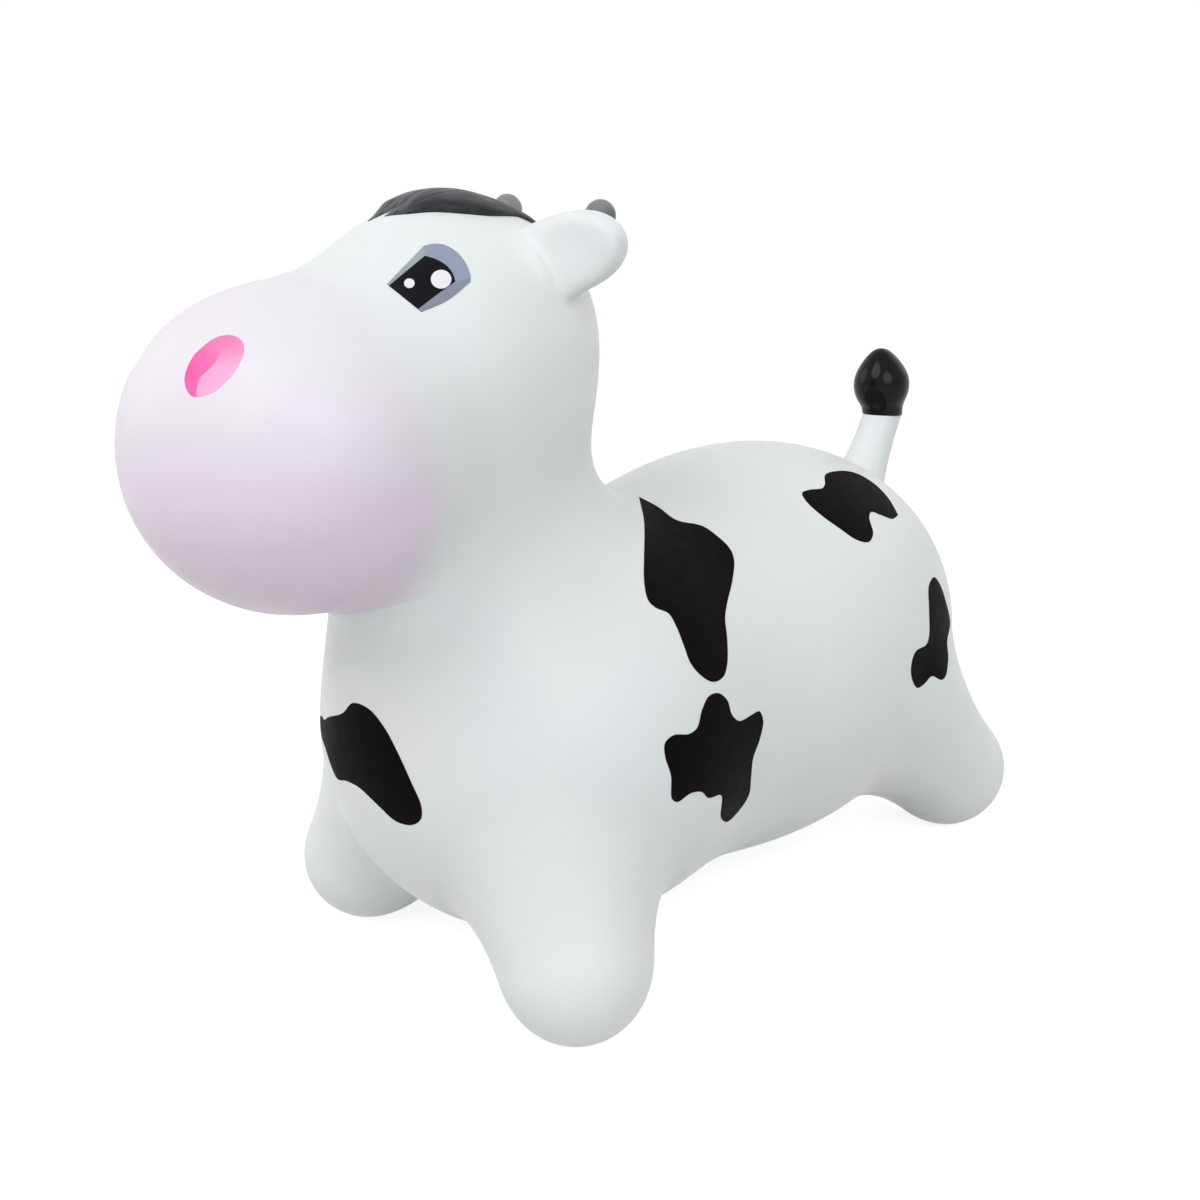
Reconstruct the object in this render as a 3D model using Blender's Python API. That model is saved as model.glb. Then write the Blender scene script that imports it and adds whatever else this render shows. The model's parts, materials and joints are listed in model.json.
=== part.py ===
"""A bouncing ride-on cow for a small child, blown up from one soft vinyl skin.

The skin is divided where it flexes and where its colour changes: sprung feet, a nodding head,
bending ears and a wagging tail, with an air valve and its plug between the rear legs.
Metres, +Z up. The cow faces -Y and its left side is +X. The origin is on the floor, under the
middle of its length.
"""

import math

import bmesh
import bpy
from mathutils import Matrix, Vector
from mathutils.bvhtree import BVHTree

# Clearances and walls
GAP = 0.0003
WALL = 0.0020
OVERRUN = 0.010
REACH = 0.500

# The form is a field of soft lobes that melt into each other
CELL = 0.0055
FIELD_LEVEL = 0.6
FIELD_STRENGTH = 2.0
FORM_TRIANGLES = 1800

# Trunk lobes: half sizes, and pitch in degrees. The chest and the rump lie inside the belly's ends
BELLY_Y = 0.0565
BELLY_Z = 0.1505
BELLY_HALF_WIDTH = 0.113
BELLY_HALF_LENGTH = 0.208
BELLY_HALF_HEIGHT = 0.1245
BELLY_PITCH = 4.5

CHEST_INSET = 0.0695
CHEST_RISE = 0.002
CHEST_Y = BELLY_Y - BELLY_HALF_LENGTH + CHEST_INSET
CHEST_Z = BELLY_Z + CHEST_RISE
CHEST_HALF_WIDTH = 0.1275
CHEST_HALF_LENGTH = 0.108
CHEST_HALF_HEIGHT = 0.117
CHEST_PITCH = -2.3

RUMP_INSET = 0.1225
RUMP_RISE = 0.004
RUMP_Y = BELLY_Y + BELLY_HALF_LENGTH - RUMP_INSET
RUMP_Z = BELLY_Z + RUMP_RISE
RUMP_HALF_WIDTH = 0.121
RUMP_HALF_LENGTH = 0.134
RUMP_HALF_HEIGHT = 0.1195
RUMP_PITCH = 3.6

# The neck rises from the chest, and the skull and the muzzle hang on its upper end
NECK_AHEAD = 0.038
NECK_RISE = 0.124
NECK_Y = CHEST_Y - NECK_AHEAD
NECK_Z = CHEST_Z + NECK_RISE
NECK_HALF_WIDTH = 0.0655
NECK_HALF_LENGTH = 0.075
NECK_HALF_HEIGHT = 0.158
NECK_PITCH = 3.9

SKULL_AHEAD = 0.043
SKULL_RISE = 0.083
SKULL_Y = NECK_Y - SKULL_AHEAD
SKULL_Z = NECK_Z + SKULL_RISE
SKULL_HALF_WIDTH = 0.084
SKULL_HALF_LENGTH = 0.128
SKULL_HALF_HEIGHT = 0.0725
SKULL_PITCH = 23.7

MUZZLE_AHEAD = 0.076
MUZZLE_DROP = 0.024
MUZZLE_Y = SKULL_Y - MUZZLE_AHEAD
MUZZLE_Z = SKULL_Z - MUZZLE_DROP
MUZZLE_HALF_WIDTH = 0.089
MUZZLE_HALF_LENGTH = 0.062
MUZZLE_HALF_HEIGHT = 0.0745
MUZZLE_PITCH = 13.4

# Legs: a capsule from its root inside the chest or the rump to the centre of the round foot
SOLE_DEPTH = 0.0005
LEG_ROOT_DROP = 0.034
FRONT_ROOT_INSET = 0.0665
FRONT_ROOT_AHEAD = 0.0345
FRONT_FOOT_INSET = 0.024
FRONT_FOOT_AHEAD = 0.054
FRONT_FOOT_RADIUS = 0.0421
REAR_ROOT_INSET = 0.042
REAR_ROOT_BEHIND = 0.036
REAR_FOOT_INSET = 0.026
REAR_FOOT_BEHIND = 0.1095
REAR_FOOT_RADIUS = 0.0442
FOOT_CUFF = 0.008
LEG_WALL_LENGTH = 0.020
FRONT_CUT_INWARD = 28.0
FRONT_CUT_BACK = 12.0
REAR_CUT_INWARD = 27.0
REAR_CUT_BACK = -20.0

# Neck band, between two planes that lean back
NOD_AHEAD = 0.032
NOD_DROP = 0.0195
NOD_Y = NECK_Y - NOD_AHEAD
NOD_Z = NECK_Z - NOD_DROP
NECK_BAND_BELOW = 0.0135
NECK_BAND_ABOVE = 0.0135
NECK_LOW_LEAN = 18.3
NECK_HIGH_LEAN = 23.7

# Edge of the pink muzzle, a plane that leans forward at the chin
MUZZLE_EDGE_BEHIND = 0.031
MUZZLE_EDGE_DROP = 0.0005
MUZZLE_EDGE_LEAN = 11.9

# Ears: flat paddles with a dished front
EAR_INSET = 0.0055
EAR_BEHIND = 0.0685
EAR_HEIGHT = 0.073
EAR_HALF_LENGTH = 0.0305
EAR_HALF_WIDTH = 0.0205
EAR_HALF_THICKNESS = 0.0085
EAR_SWEEP = 8.0
EAR_RISE = 8.0
EAR_TWIST = 10.0
EAR_DISH_DEPTH = 0.0050
EAR_DISH_SHARE = 0.62
EAR_ROOT_INSET = 0.0105
EAR_ROOT_DROP = 0.0055
EAR_ROOT_RISE = 28.0
EAR_ROOT_LENGTH = 0.010

# Tail: a short stem and a glossy tuft with a rim at its foot. It starts just outside the rump's
# own lobe, at this angle above its middle
TAIL_START_ANGLE = 33.95
TAIL_START_SHARE = 1.1618
TAIL_LEAN = 22.0
TAIL_RADIUS = 0.0150
TAIL_FLARE_RADIUS = 0.0185
TAIL_ROOT_LEAN = 38.0
TAIL_ROOT_START = 0.012
TAIL_ROOT_LENGTH = 0.012
TAIL_STEM_TOP = 0.060
TUFT_RADIUS = 0.0220
TUFT_HEIGHT = 0.056
TUFT_RIM_RADIUS = 0.0168
TUFT_RIM_HEIGHT = 0.0045
TUFT_LEAN = 2.5

# Horns: where they leave the skin, and how far they stand out of it and reach into it
HORN_X = 0.0358
HORN_BEHIND = 0.1061
HORN_HEIGHT = 0.044
HORN_ROOT = 0.008
HORN_RADIUS = 0.0088
HORN_FOOT_RADIUS = 0.0125
HORN_SPLAY = 6.0
HORN_LEAN = -24.0

# Forelock, raised above the skull
FORELOCK_BEHIND = 0.041
FORELOCK_HALF_WIDTH = 0.037
FORELOCK_HALF_LENGTH = 0.048
FORELOCK_THICKNESS = 0.0050

# Eyes, printed films
EYE_X = 0.054
EYE_AHEAD = 0.0135
EYE_RISE = 0.062
EYE_LENGTH = 0.041
EYE_HEIGHT = 0.045
FILM_THICKNESS = 0.0005

# Nostrils, scooped cups
NOSTRIL_X = 0.0377
NOSTRIL_AHEAD = 0.0464
NOSTRIL_RISE = 0.050
NOSTRIL_HALF_LENGTH = 0.0165
NOSTRIL_HALF_WIDTH = 0.0122
NOSTRIL_DEPTH = 0.0090
NOSTRIL_TURN = -16.0

# Air valve between the rear legs, at this angle below the rump's middle
VALVE_ANGLE = 57.33
VALVE_RADIUS = 0.013
VALVE_DEPTH = 0.012
VALVE_BORE_RADIUS = 0.0045
VALVE_RECESS_RADIUS = 0.0103
VALVE_RECESS_DEPTH = 0.0020
PLUG_LENGTH = 0.014
PLUG_GRIP_WIDTH = 0.0020

ROUND_SIDES = 16
SCOOP_SIDES = 18
SCOOP_STEPS = 8

WHITE = (0.86, 0.88, 0.87)
PINK = (0.88, 0.76, 0.83)
HOT_PINK = (1.0, 0.16, 0.43)
HAIR_GREY = (0.045, 0.052, 0.058)
TUFT_BLACK = (0.008, 0.008, 0.009)
EYE_BLACK = (0.012, 0.013, 0.02)
VALVE_WHITE = (0.80, 0.82, 0.80)


def clear_scene():
    for thing in list(bpy.data.objects):
        bpy.data.objects.remove(thing, do_unlink=True)


# Ways in space

UP = Vector((0, 0, 1))


def turned_about(axis, degrees):
    return Matrix.Rotation(math.radians(degrees), 3, axis)


def leaning_up(degrees):
    """Up, leaning forward by this many degrees."""
    return turned_about("X", degrees) @ UP


def other_side(point):
    return Vector((-point.x, point.y, point.z))


# Meshes and Booleans

def mesh_of(name, bm):
    mesh = bpy.data.meshes.new(name)
    bm.to_mesh(mesh)
    bm.free()
    return mesh


def evaluated(mesh, set_up):
    """The mesh after the modifiers that set_up adds to an object that holds it."""
    holder = bpy.data.objects.new("holder", mesh)
    bpy.context.scene.collection.objects.link(holder)
    set_up(holder)
    graph = bpy.context.evaluated_depsgraph_get()
    result = bpy.data.meshes.new_from_object(holder.evaluated_get(graph))
    bpy.data.objects.remove(holder, do_unlink=True)
    return result


def combined(mesh, operation, other):
    """The Boolean of two closed meshes, as a new mesh."""
    tool = bpy.data.objects.new("tool", other)
    bpy.context.scene.collection.objects.link(tool)

    def set_up(holder):
        modifier = holder.modifiers.new(operation.lower(), "BOOLEAN")
        modifier.operation = operation
        modifier.solver = "EXACT"
        modifier.object = tool

    result = evaluated(mesh, set_up)
    bpy.data.objects.remove(tool, do_unlink=True)
    return result


def decimated(mesh, triangles):
    mesh.calc_loop_triangles()
    share = min(1, triangles / len(mesh.loop_triangles))

    def set_up(holder):
        holder.modifiers.new("triangulate", "TRIANGULATE")
        modifier = holder.modifiers.new("decimate", "DECIMATE")
        modifier.ratio = share

    return evaluated(mesh, set_up)


def grown(mesh, distance):
    """The mesh moved outward by distance along its normals."""
    def set_up(holder):
        modifier = holder.modifiers.new("grow", "DISPLACE")
        modifier.mid_level = 0
        modifier.strength = distance

    return evaluated(mesh, set_up)


def made_symmetric(mesh):
    """The +X half of the mesh and its mirror image, sharing the points on the middle plane."""
    bm = bmesh.new()
    bm.from_mesh(mesh)
    whole = bm.verts[:] + bm.edges[:] + bm.faces[:]
    bmesh.ops.bisect_plane(
        bm, geom=whole, dist=GAP, plane_co=(0, 0, 0), plane_no=(1, 0, 0), clear_inner=True
    )
    flat = [face for face in bm.faces if all(abs(vert.co.x) <= GAP for vert in face.verts)]
    bmesh.ops.delete(bm, geom=flat, context="FACES")
    half = list(bm.faces)
    twin = {}
    for vert in list(bm.verts):
        if vert.is_boundary:
            vert.co.x = 0
            twin[vert] = vert
        else:
            twin[vert] = bm.verts.new((-vert.co.x, vert.co.y, vert.co.z))
    for face in half:
        bm.faces.new([twin[vert] for vert in reversed(face.verts)])
    return mesh_of("symmetric", bm)


def mirrored(mesh):
    twin = mesh.copy()
    twin.transform(Matrix.Scale(-1, 4, (1, 0, 0)))
    twin.flip_normals()
    return twin


def half_space(point, way, reach=REACH):
    """A box that starts at the plane through point and runs that way."""
    bm = bmesh.new()
    bmesh.ops.create_cube(bm, size=2 * reach)
    turn = UP.rotation_difference(way).to_matrix().to_4x4()
    bmesh.ops.transform(bm, matrix=Matrix.Translation(point + way * reach) @ turn, verts=bm.verts)
    return mesh_of("half_space", bm)


def prism(outline, frame, depth):
    """A closed prism over an outline of (u, v) points, from -depth to +depth along the frame's Z."""
    bm = bmesh.new()
    low = [bm.verts.new(frame @ Vector((u, v, -depth))) for u, v in outline]
    face = bm.faces.new(low)
    top = bmesh.ops.extrude_face_region(bm, geom=[face])
    moved = [item for item in top["geom"] if isinstance(item, bmesh.types.BMVert)]
    along = frame.to_3x3() @ UP * 2 * depth
    bmesh.ops.translate(bm, verts=moved, vec=along)
    bmesh.ops.recalc_face_normals(bm, faces=bm.faces)
    return mesh_of("prism", bm)


def turned(profile, frame, sides=ROUND_SIDES):
    """A solid of revolution about the frame's Z, from (radius, height) points round its half section."""
    bm = bmesh.new()
    ring = [bm.verts.new((radius, 0, height)) for radius, height in profile]
    edges = [bm.edges.new(pair) for pair in zip(ring, ring[1:])]
    bmesh.ops.spin(
        bm, geom=ring + edges, axis=(0, 0, 1), cent=(0, 0, 0), angle=math.tau, steps=sides,
        use_merge=True,
    )
    bmesh.ops.remove_doubles(bm, verts=bm.verts, dist=GAP / 100)
    bmesh.ops.recalc_face_normals(bm, faces=bm.faces)
    bmesh.ops.transform(bm, matrix=frame, verts=bm.verts)
    return mesh_of("turned", bm)


def parted(mesh, point, way, reach=REACH):
    """What lies beyond the plane through point that way, and what lies a gap short of it."""
    beyond = combined(mesh, "INTERSECT", half_space(point, way, reach))
    short = combined(mesh, "DIFFERENCE", half_space(point - way * GAP, way, reach))
    return beyond, short


def parted_pair(mesh, point, way, reach=REACH):
    """As parted, for a plane across a left limb, with the right limb cut off the rest too."""
    beyond, short = parted(mesh, point, way, reach)
    right = mirrored(half_space(point - way * GAP, way, reach))
    return beyond, combined(short, "DIFFERENCE", right)


# The soft form

FIELD_EDGE = math.sqrt(1 - (FIELD_LEVEL / FIELD_STRENGTH) ** (1 / 3))


def add_lobe(family, centre, half_sizes, turn, hollow=False):
    """An ellipsoid of the field whose own surface, alone, has these half sizes."""
    element = family.elements.new(type="ELLIPSOID")
    element.co = centre
    element.radius = 1
    element.size_x, element.size_y, element.size_z = (size / FIELD_EDGE for size in half_sizes)
    element.rotation = turn.to_quaternion()
    element.stiffness = FIELD_STRENGTH
    element.use_negative = hollow


def add_limb(family, start, end, radius):
    """A capsule of the field from start to end."""
    element = family.elements.new(type="CAPSULE")
    element.co = (start + end) / 2
    element.radius = radius / FIELD_EDGE
    element.size_x = (end - start).length / 2
    element.rotation = Vector((1, 0, 0)).rotation_difference(end - start)
    element.stiffness = FIELD_STRENGTH


def on_rump(degrees, share):
    """A place on the middle plane at this angle behind the rump's middle, as a share of its lobe."""
    angle = math.radians(degrees)
    reach = Vector((0, RUMP_HALF_LENGTH * math.cos(angle), RUMP_HALF_HEIGHT * math.sin(angle)))
    return RUMP + turned_about("X", RUMP_PITCH) @ reach * share


CHEST = Vector((0, CHEST_Y, CHEST_Z))
RUMP = Vector((0, RUMP_Y, RUMP_Z))
SKULL = Vector((0, SKULL_Y, SKULL_Z))
MUZZLE = Vector((0, MUZZLE_Y, MUZZLE_Z))
FRONT_ROOT = CHEST + Vector((CHEST_HALF_WIDTH - FRONT_ROOT_INSET, -FRONT_ROOT_AHEAD, -LEG_ROOT_DROP))
REAR_ROOT = RUMP + Vector((RUMP_HALF_WIDTH - REAR_ROOT_INSET, REAR_ROOT_BEHIND, -LEG_ROOT_DROP))
FRONT_FOOT = CHEST + Vector((CHEST_HALF_WIDTH - FRONT_FOOT_INSET, -FRONT_FOOT_AHEAD, 0))
FRONT_FOOT.z = FRONT_FOOT_RADIUS - SOLE_DEPTH
REAR_FOOT = RUMP + Vector((RUMP_HALF_WIDTH - REAR_FOOT_INSET, REAR_FOOT_BEHIND, 0))
REAR_FOOT.z = REAR_FOOT_RADIUS - SOLE_DEPTH
NOD = Vector((0, NOD_Y, NOD_Z))
EAR_CENTRE = SKULL + Vector((SKULL_HALF_WIDTH - EAR_INSET, EAR_BEHIND, EAR_HEIGHT))
EAR_ROOT = EAR_CENTRE - Vector((EAR_ROOT_INSET, 0, EAR_ROOT_DROP))
TAIL_FOOT = on_rump(TAIL_START_ANGLE, TAIL_START_SHARE)
TAIL_AXIS = leaning_up(-TAIL_LEAN)


def soft_form():
    """The outer surface of the whole blown skin, as one closed mesh."""
    family = bpy.data.metaballs.new("form")
    family.resolution = CELL
    family.render_resolution = CELL
    family.threshold = FIELD_LEVEL
    trunk = (
        ((CHEST_Y, CHEST_Z), (CHEST_HALF_WIDTH, CHEST_HALF_LENGTH, CHEST_HALF_HEIGHT), CHEST_PITCH),
        ((BELLY_Y, BELLY_Z), (BELLY_HALF_WIDTH, BELLY_HALF_LENGTH, BELLY_HALF_HEIGHT), BELLY_PITCH),
        ((RUMP_Y, RUMP_Z), (RUMP_HALF_WIDTH, RUMP_HALF_LENGTH, RUMP_HALF_HEIGHT), RUMP_PITCH),
        ((NECK_Y, NECK_Z), (NECK_HALF_WIDTH, NECK_HALF_LENGTH, NECK_HALF_HEIGHT), NECK_PITCH),
        ((SKULL_Y, SKULL_Z), (SKULL_HALF_WIDTH, SKULL_HALF_LENGTH, SKULL_HALF_HEIGHT), SKULL_PITCH),
        ((MUZZLE_Y, MUZZLE_Z), (MUZZLE_HALF_WIDTH, MUZZLE_HALF_LENGTH, MUZZLE_HALF_HEIGHT), MUZZLE_PITCH),
    )
    for (y, z), half_sizes, pitch in trunk:
        add_lobe(family, (0, y, z), half_sizes, turned_about("X", pitch))
    legs = ((FRONT_ROOT, FRONT_FOOT, FRONT_FOOT_RADIUS), (REAR_ROOT, REAR_FOOT, REAR_FOOT_RADIUS))
    for root, foot, radius in legs:
        add_limb(family, root, foot, radius)
        add_limb(family, other_side(root), other_side(foot), radius)
    ear_sizes = (EAR_HALF_LENGTH, EAR_HALF_THICKNESS, EAR_HALF_WIDTH)
    dish_sizes = (EAR_HALF_LENGTH * EAR_DISH_SHARE, EAR_DISH_DEPTH, EAR_HALF_WIDTH * EAR_DISH_SHARE)
    for centre, side in ((EAR_CENTRE, 1), (other_side(EAR_CENTRE), -1)):
        turn = turned_about("Z", EAR_SWEEP * side) @ turned_about("Y", -EAR_RISE * side)
        turn = turn @ turned_about("X", EAR_TWIST)
        add_lobe(family, centre, ear_sizes, turn)
        dish = centre + turn @ Vector((0, -EAR_HALF_THICKNESS, 0))
        add_lobe(family, dish, dish_sizes, turn, hollow=True)
    add_limb(family, TAIL_FOOT, TAIL_FOOT + TAIL_AXIS * (TAIL_STEM_TOP + OVERRUN), TAIL_RADIUS)
    add_limb(family, TAIL_FOOT, TAIL_FOOT + TAIL_AXIS * TAIL_ROOT_START, TAIL_FLARE_RADIUS)
    holder = bpy.data.objects.new("form", family)
    bpy.context.scene.collection.objects.link(holder)
    graph = bpy.context.evaluated_depsgraph_get()
    mesh = bpy.data.meshes.new_from_object(holder.evaluated_get(graph))
    bpy.data.objects.remove(holder, do_unlink=True)
    return mesh


# Places on the form

def skin_near(form, point):
    """The nearest place on the form, and the way out of the skin there."""
    place, normal, _, _ = form.find_nearest(point)
    return place, normal


def skin_under(form, x, y):
    """The top of the form over a place on the floor."""
    return form.ray_cast(Vector((x, y, 2 * REACH)), -UP)[0]


def frame_at(place, normal, spin=0):
    """Z out of the skin, Y as far up as it can be, X level; spin turns it about Z, in degrees."""
    out = normal.normalized()
    level = UP.cross(out).normalized()
    frame = Matrix((level, out.cross(level), out)).transposed() @ turned_about("Z", spin)
    return Matrix.Translation(place) @ frame.to_4x4()


# Sections of the skin

def skin_sections(outer, inner):
    """Every section of the skin by name, for the middle and the left side."""
    sections = {}
    rest = combined(outer, "DIFFERENCE", inner)
    rest = combined(rest, "DIFFERENCE", half_space(Vector(), -UP))
    head, rest = parted(rest, NOD + UP * NECK_BAND_ABOVE, leaning_up(NECK_HIGH_LEAN))
    sections["neck_skin"], rest = parted(rest, NOD - UP * NECK_BAND_BELOW, leaning_up(NECK_LOW_LEAN))
    for name, foot, inward, back in (
        ("front", FRONT_FOOT, FRONT_CUT_INWARD, FRONT_CUT_BACK),
        ("rear", REAR_FOOT, REAR_CUT_INWARD, REAR_CUT_BACK),
    ):
        down = turned_about("X", -back) @ turned_about("Y", -inward) @ -UP
        for part, height in (("foot", FOOT_CUFF), ("leg", FOOT_CUFF + LEG_WALL_LENGTH)):
            sections[f"{name}_left_{part}"], rest = parted_pair(rest, foot - down * height, down)
    for name, start, lean in (
        ("tip", TAIL_STEM_TOP, TUFT_LEAN),
        ("tail_stem", TAIL_ROOT_START + TAIL_ROOT_LENGTH, -TAIL_ROOT_LEAN),
        ("tail_root", TAIL_ROOT_START, -TAIL_ROOT_LEAN),
    ):
        point = TAIL_FOOT + TAIL_AXIS * start
        sections[name], rest = parted(rest, point, leaning_up(lean), TAIL_STEM_TOP)
    del sections["tip"]
    sections["torso_skin"] = rest
    edge = MUZZLE + Vector((0, MUZZLE_EDGE_BEHIND, -MUZZLE_EDGE_DROP))
    ahead = turned_about("X", MUZZLE_EDGE_LEAN) @ Vector((0, -1, 0))
    sections["muzzle_skin"], head = parted(head, edge, ahead)
    out = turned_about("Y", -EAR_ROOT_RISE) @ Vector((1, 0, 0))
    for name, start in (("left_ear", EAR_ROOT_LENGTH), ("left_ear_root", 0)):
        sections[name], head = parted_pair(head, EAR_ROOT + out * start, out, 2 * EAR_HALF_LENGTH)
    sections["head_skin"] = head
    return sections


# Pieces that aren't skin

def tuft():
    """The egg-shaped tuft, hollow and open at its foot, where the stem meets it."""
    foot = TAIL_FOOT + TAIL_AXIS * TAIL_STEM_TOP
    frame = Matrix.Translation(foot) @ turned_about("X", TUFT_LEAN).to_4x4()
    bore = TAIL_RADIUS - WALL
    height_shares = (0.14, 0.24, 0.34, 0.45, 0.56, 0.67, 0.78, 0.88, 0.96)
    radius_shares = (0.82, 0.93, 0.985, 1.0, 0.96, 0.86, 0.70, 0.48, 0.22)
    outside = [(TUFT_RIM_RADIUS, 0), (TUFT_RIM_RADIUS, TUFT_RIM_HEIGHT)]
    outside += [(TUFT_RADIUS * r, TUFT_HEIGHT * h) for h, r in zip(height_shares, radius_shares)]
    inside = [(bore, 0), (bore, TUFT_RIM_HEIGHT)]
    inside += [
        (TUFT_RADIUS * r - WALL, TUFT_HEIGHT * h)
        for h, r in zip(height_shares[1:-2], radius_shares[1:-2])
    ]
    profile = [(0, TUFT_HEIGHT * height_shares[-2] - WALL), *reversed(inside), *outside, (0, TUFT_HEIGHT)]
    return turned(profile, frame)


def horn(form, clear_skin):
    """A blunt round horn that rises out of the skull."""
    turn = turned_about("Y", HORN_SPLAY) @ turned_about("X", HORN_LEAN)
    length = HORN_HEIGHT + HORN_ROOT
    tip = skin_under(form, HORN_X, SKULL_Y + HORN_BEHIND) + turn @ UP * HORN_HEIGHT
    round_shares = (0, 0.5, 0.78, 0.94, 1.0)
    profile = [
        (HORN_RADIUS * share, HORN_RADIUS * (math.sqrt(1 - share * share) - 1)) for share in round_shares
    ]
    profile += [(HORN_FOOT_RADIUS, -length), (0, -length)]
    return combined(turned(profile, Matrix.Translation(tip) @ turn.to_4x4()), "DIFFERENCE", clear_skin)


def raised(outline, frame, clear_skin, thickness):
    """A layer on the skin inside an outline."""
    layer = combined(grown(clear_skin, thickness), "INTERSECT", prism(outline, frame, 2 * OVERRUN))
    return combined(layer, "DIFFERENCE", clear_skin)


def forelock(form, clear_skin):
    frame = Matrix.Translation(skin_under(form, 0, SKULL_Y + FORELOCK_BEHIND))
    width_shares = (0.0, 0.24, 0.40, 0.62, 0.86, 1.0, 1.0, 0.80, 0.45, 0.0)
    length_shares = (-1.0, -0.86, -0.90, -0.72, -0.46, -0.05, 0.40, 0.80, 0.97, 1.0)
    half = [
        (FORELOCK_HALF_WIDTH * w, FORELOCK_HALF_LENGTH * s) for w, s in zip(width_shares, length_shares)
    ]
    outline = half + [(-u, v) for u, v in reversed(half[1:-1])]
    return raised(outline, frame, clear_skin, FORELOCK_THICKNESS)


def eye(form, clear_skin):
    """The printed film of the left eye."""
    place, normal = skin_near(form, SKULL + Vector((EYE_X, -EYE_AHEAD, EYE_RISE)))
    length_shares = (-0.50, -0.07, 0.13, 0.32, 0.44, 0.50, 0.48, 0.23, -0.11)
    height_shares = (-0.07, 0.48, 0.50, 0.41, 0.28, 0.10, -0.04, -0.28, -0.50)
    outline = [(EYE_LENGTH * u, EYE_HEIGHT * v) for u, v in zip(length_shares, height_shares)]
    return raised(outline, frame_at(place, normal), clear_skin, FILM_THICKNESS)


def nostril_scoop(form, extra):
    """The ellipsoid that scoops the left nostril, larger by extra all round."""
    place, normal = skin_near(form, MUZZLE + Vector((NOSTRIL_X, -NOSTRIL_AHEAD, NOSTRIL_RISE)))
    wide, long, deep = (
        size + extra for size in (NOSTRIL_HALF_WIDTH, NOSTRIL_HALF_LENGTH, NOSTRIL_DEPTH)
    )
    angles = [math.pi * (step / SCOOP_STEPS - 0.5) for step in range(SCOOP_STEPS + 1)]
    profile = [(wide * math.cos(angle), deep * math.sin(angle)) for angle in angles]
    profile[0], profile[-1] = (0, -deep), (0, deep)
    longer = Matrix.Diagonal((1, long / wide, 1, 1))
    return turned(profile, frame_at(place, normal, NOSTRIL_TURN) @ longer, SCOOP_SIDES)


def nostril(form, outer):
    cup = combined(outer, "INTERSECT", nostril_scoop(form, WALL))
    return combined(cup, "DIFFERENCE", nostril_scoop(form, 0))


def valve_frame(form):
    """Out of the skin under the rump, on the middle plane."""
    place, normal, _, _ = form.ray_cast(RUMP, on_rump(-VALVE_ANGLE, 1) - RUMP)
    place.x = 0
    normal.x = 0
    return frame_at(place, normal)


def valve_hole(frame):
    """The round hole that the seat sits in."""
    radius = VALVE_RADIUS + GAP
    profile = [(0, -VALVE_DEPTH), (radius, -VALVE_DEPTH), (radius, OVERRUN), (0, OVERRUN)]
    return turned(profile, frame)


def valve_seat(frame):
    """A thick ring in the skin, with a bore and a shallow recess for the plug's head."""
    profile = [
        (VALVE_BORE_RADIUS, -VALVE_DEPTH),
        (VALVE_RADIUS, -VALVE_DEPTH),
        (VALVE_RADIUS, 0),
        (VALVE_RECESS_RADIUS, 0),
        (VALVE_RECESS_RADIUS, -VALVE_RECESS_DEPTH),
        (VALVE_BORE_RADIUS, -VALVE_RECESS_DEPTH),
        (VALVE_BORE_RADIUS, -VALVE_DEPTH),
    ]
    return turned(profile, frame)


def valve_plug(frame):
    """A push-in plug with a flat head and a grip across it."""
    head = VALVE_RECESS_RADIUS - GAP
    stem = VALVE_BORE_RADIUS - GAP
    under = -VALVE_RECESS_DEPTH + GAP
    profile = [
        (0, -PLUG_LENGTH),
        (stem - GAP, -PLUG_LENGTH),
        (stem, -VALVE_DEPTH),
        (stem, under),
        (head, under),
        (head, 0),
        (0, 0),
    ]
    grip = prism(
        [
            (head - GAP, -PLUG_GRIP_WIDTH / 2),
            (head - GAP, PLUG_GRIP_WIDTH / 2),
            (GAP - head, PLUG_GRIP_WIDTH / 2),
            (GAP - head, -PLUG_GRIP_WIDTH / 2),
        ],
        frame,
        -under / 2,
    )
    return combined(turned(profile, frame), "UNION", grip)


# Objects

def material(name, colour, roughness):
    made = bpy.data.materials.new(name)
    made.use_nodes = True
    shader = made.node_tree.nodes["Principled BSDF"]
    shader.inputs["Base Color"].default_value = (*colour, 1)
    shader.inputs["Roughness"].default_value = roughness
    shader.inputs["Metallic"].default_value = 0
    return made


def world_place(thing):
    """An unturned object's place in the world, down its chain of parents."""
    return thing.location + world_place(thing.parent) if thing else Vector()


def pivot(name, place, parent=None):
    """An empty on a joint's axis."""
    empty = bpy.data.objects.new(name, None)
    empty.empty_display_size = OVERRUN
    empty.parent = parent
    empty.location = place - world_place(parent)
    bpy.context.scene.collection.objects.link(empty)
    return empty


def piece(name, mesh, parent, finish):
    """A named sub-part whose origin is its parent's pivot."""
    mesh = mesh.copy()
    mesh.name = name
    mesh.transform(Matrix.Translation(-world_place(parent)))
    mesh.materials.clear()
    mesh.materials.append(finish)
    mesh.shade_smooth()
    mesh.set_sharp_from_angle(angle=math.radians(50))
    obj = bpy.data.objects.new(name, mesh)
    obj.parent = parent
    bpy.context.scene.collection.objects.link(obj)


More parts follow.
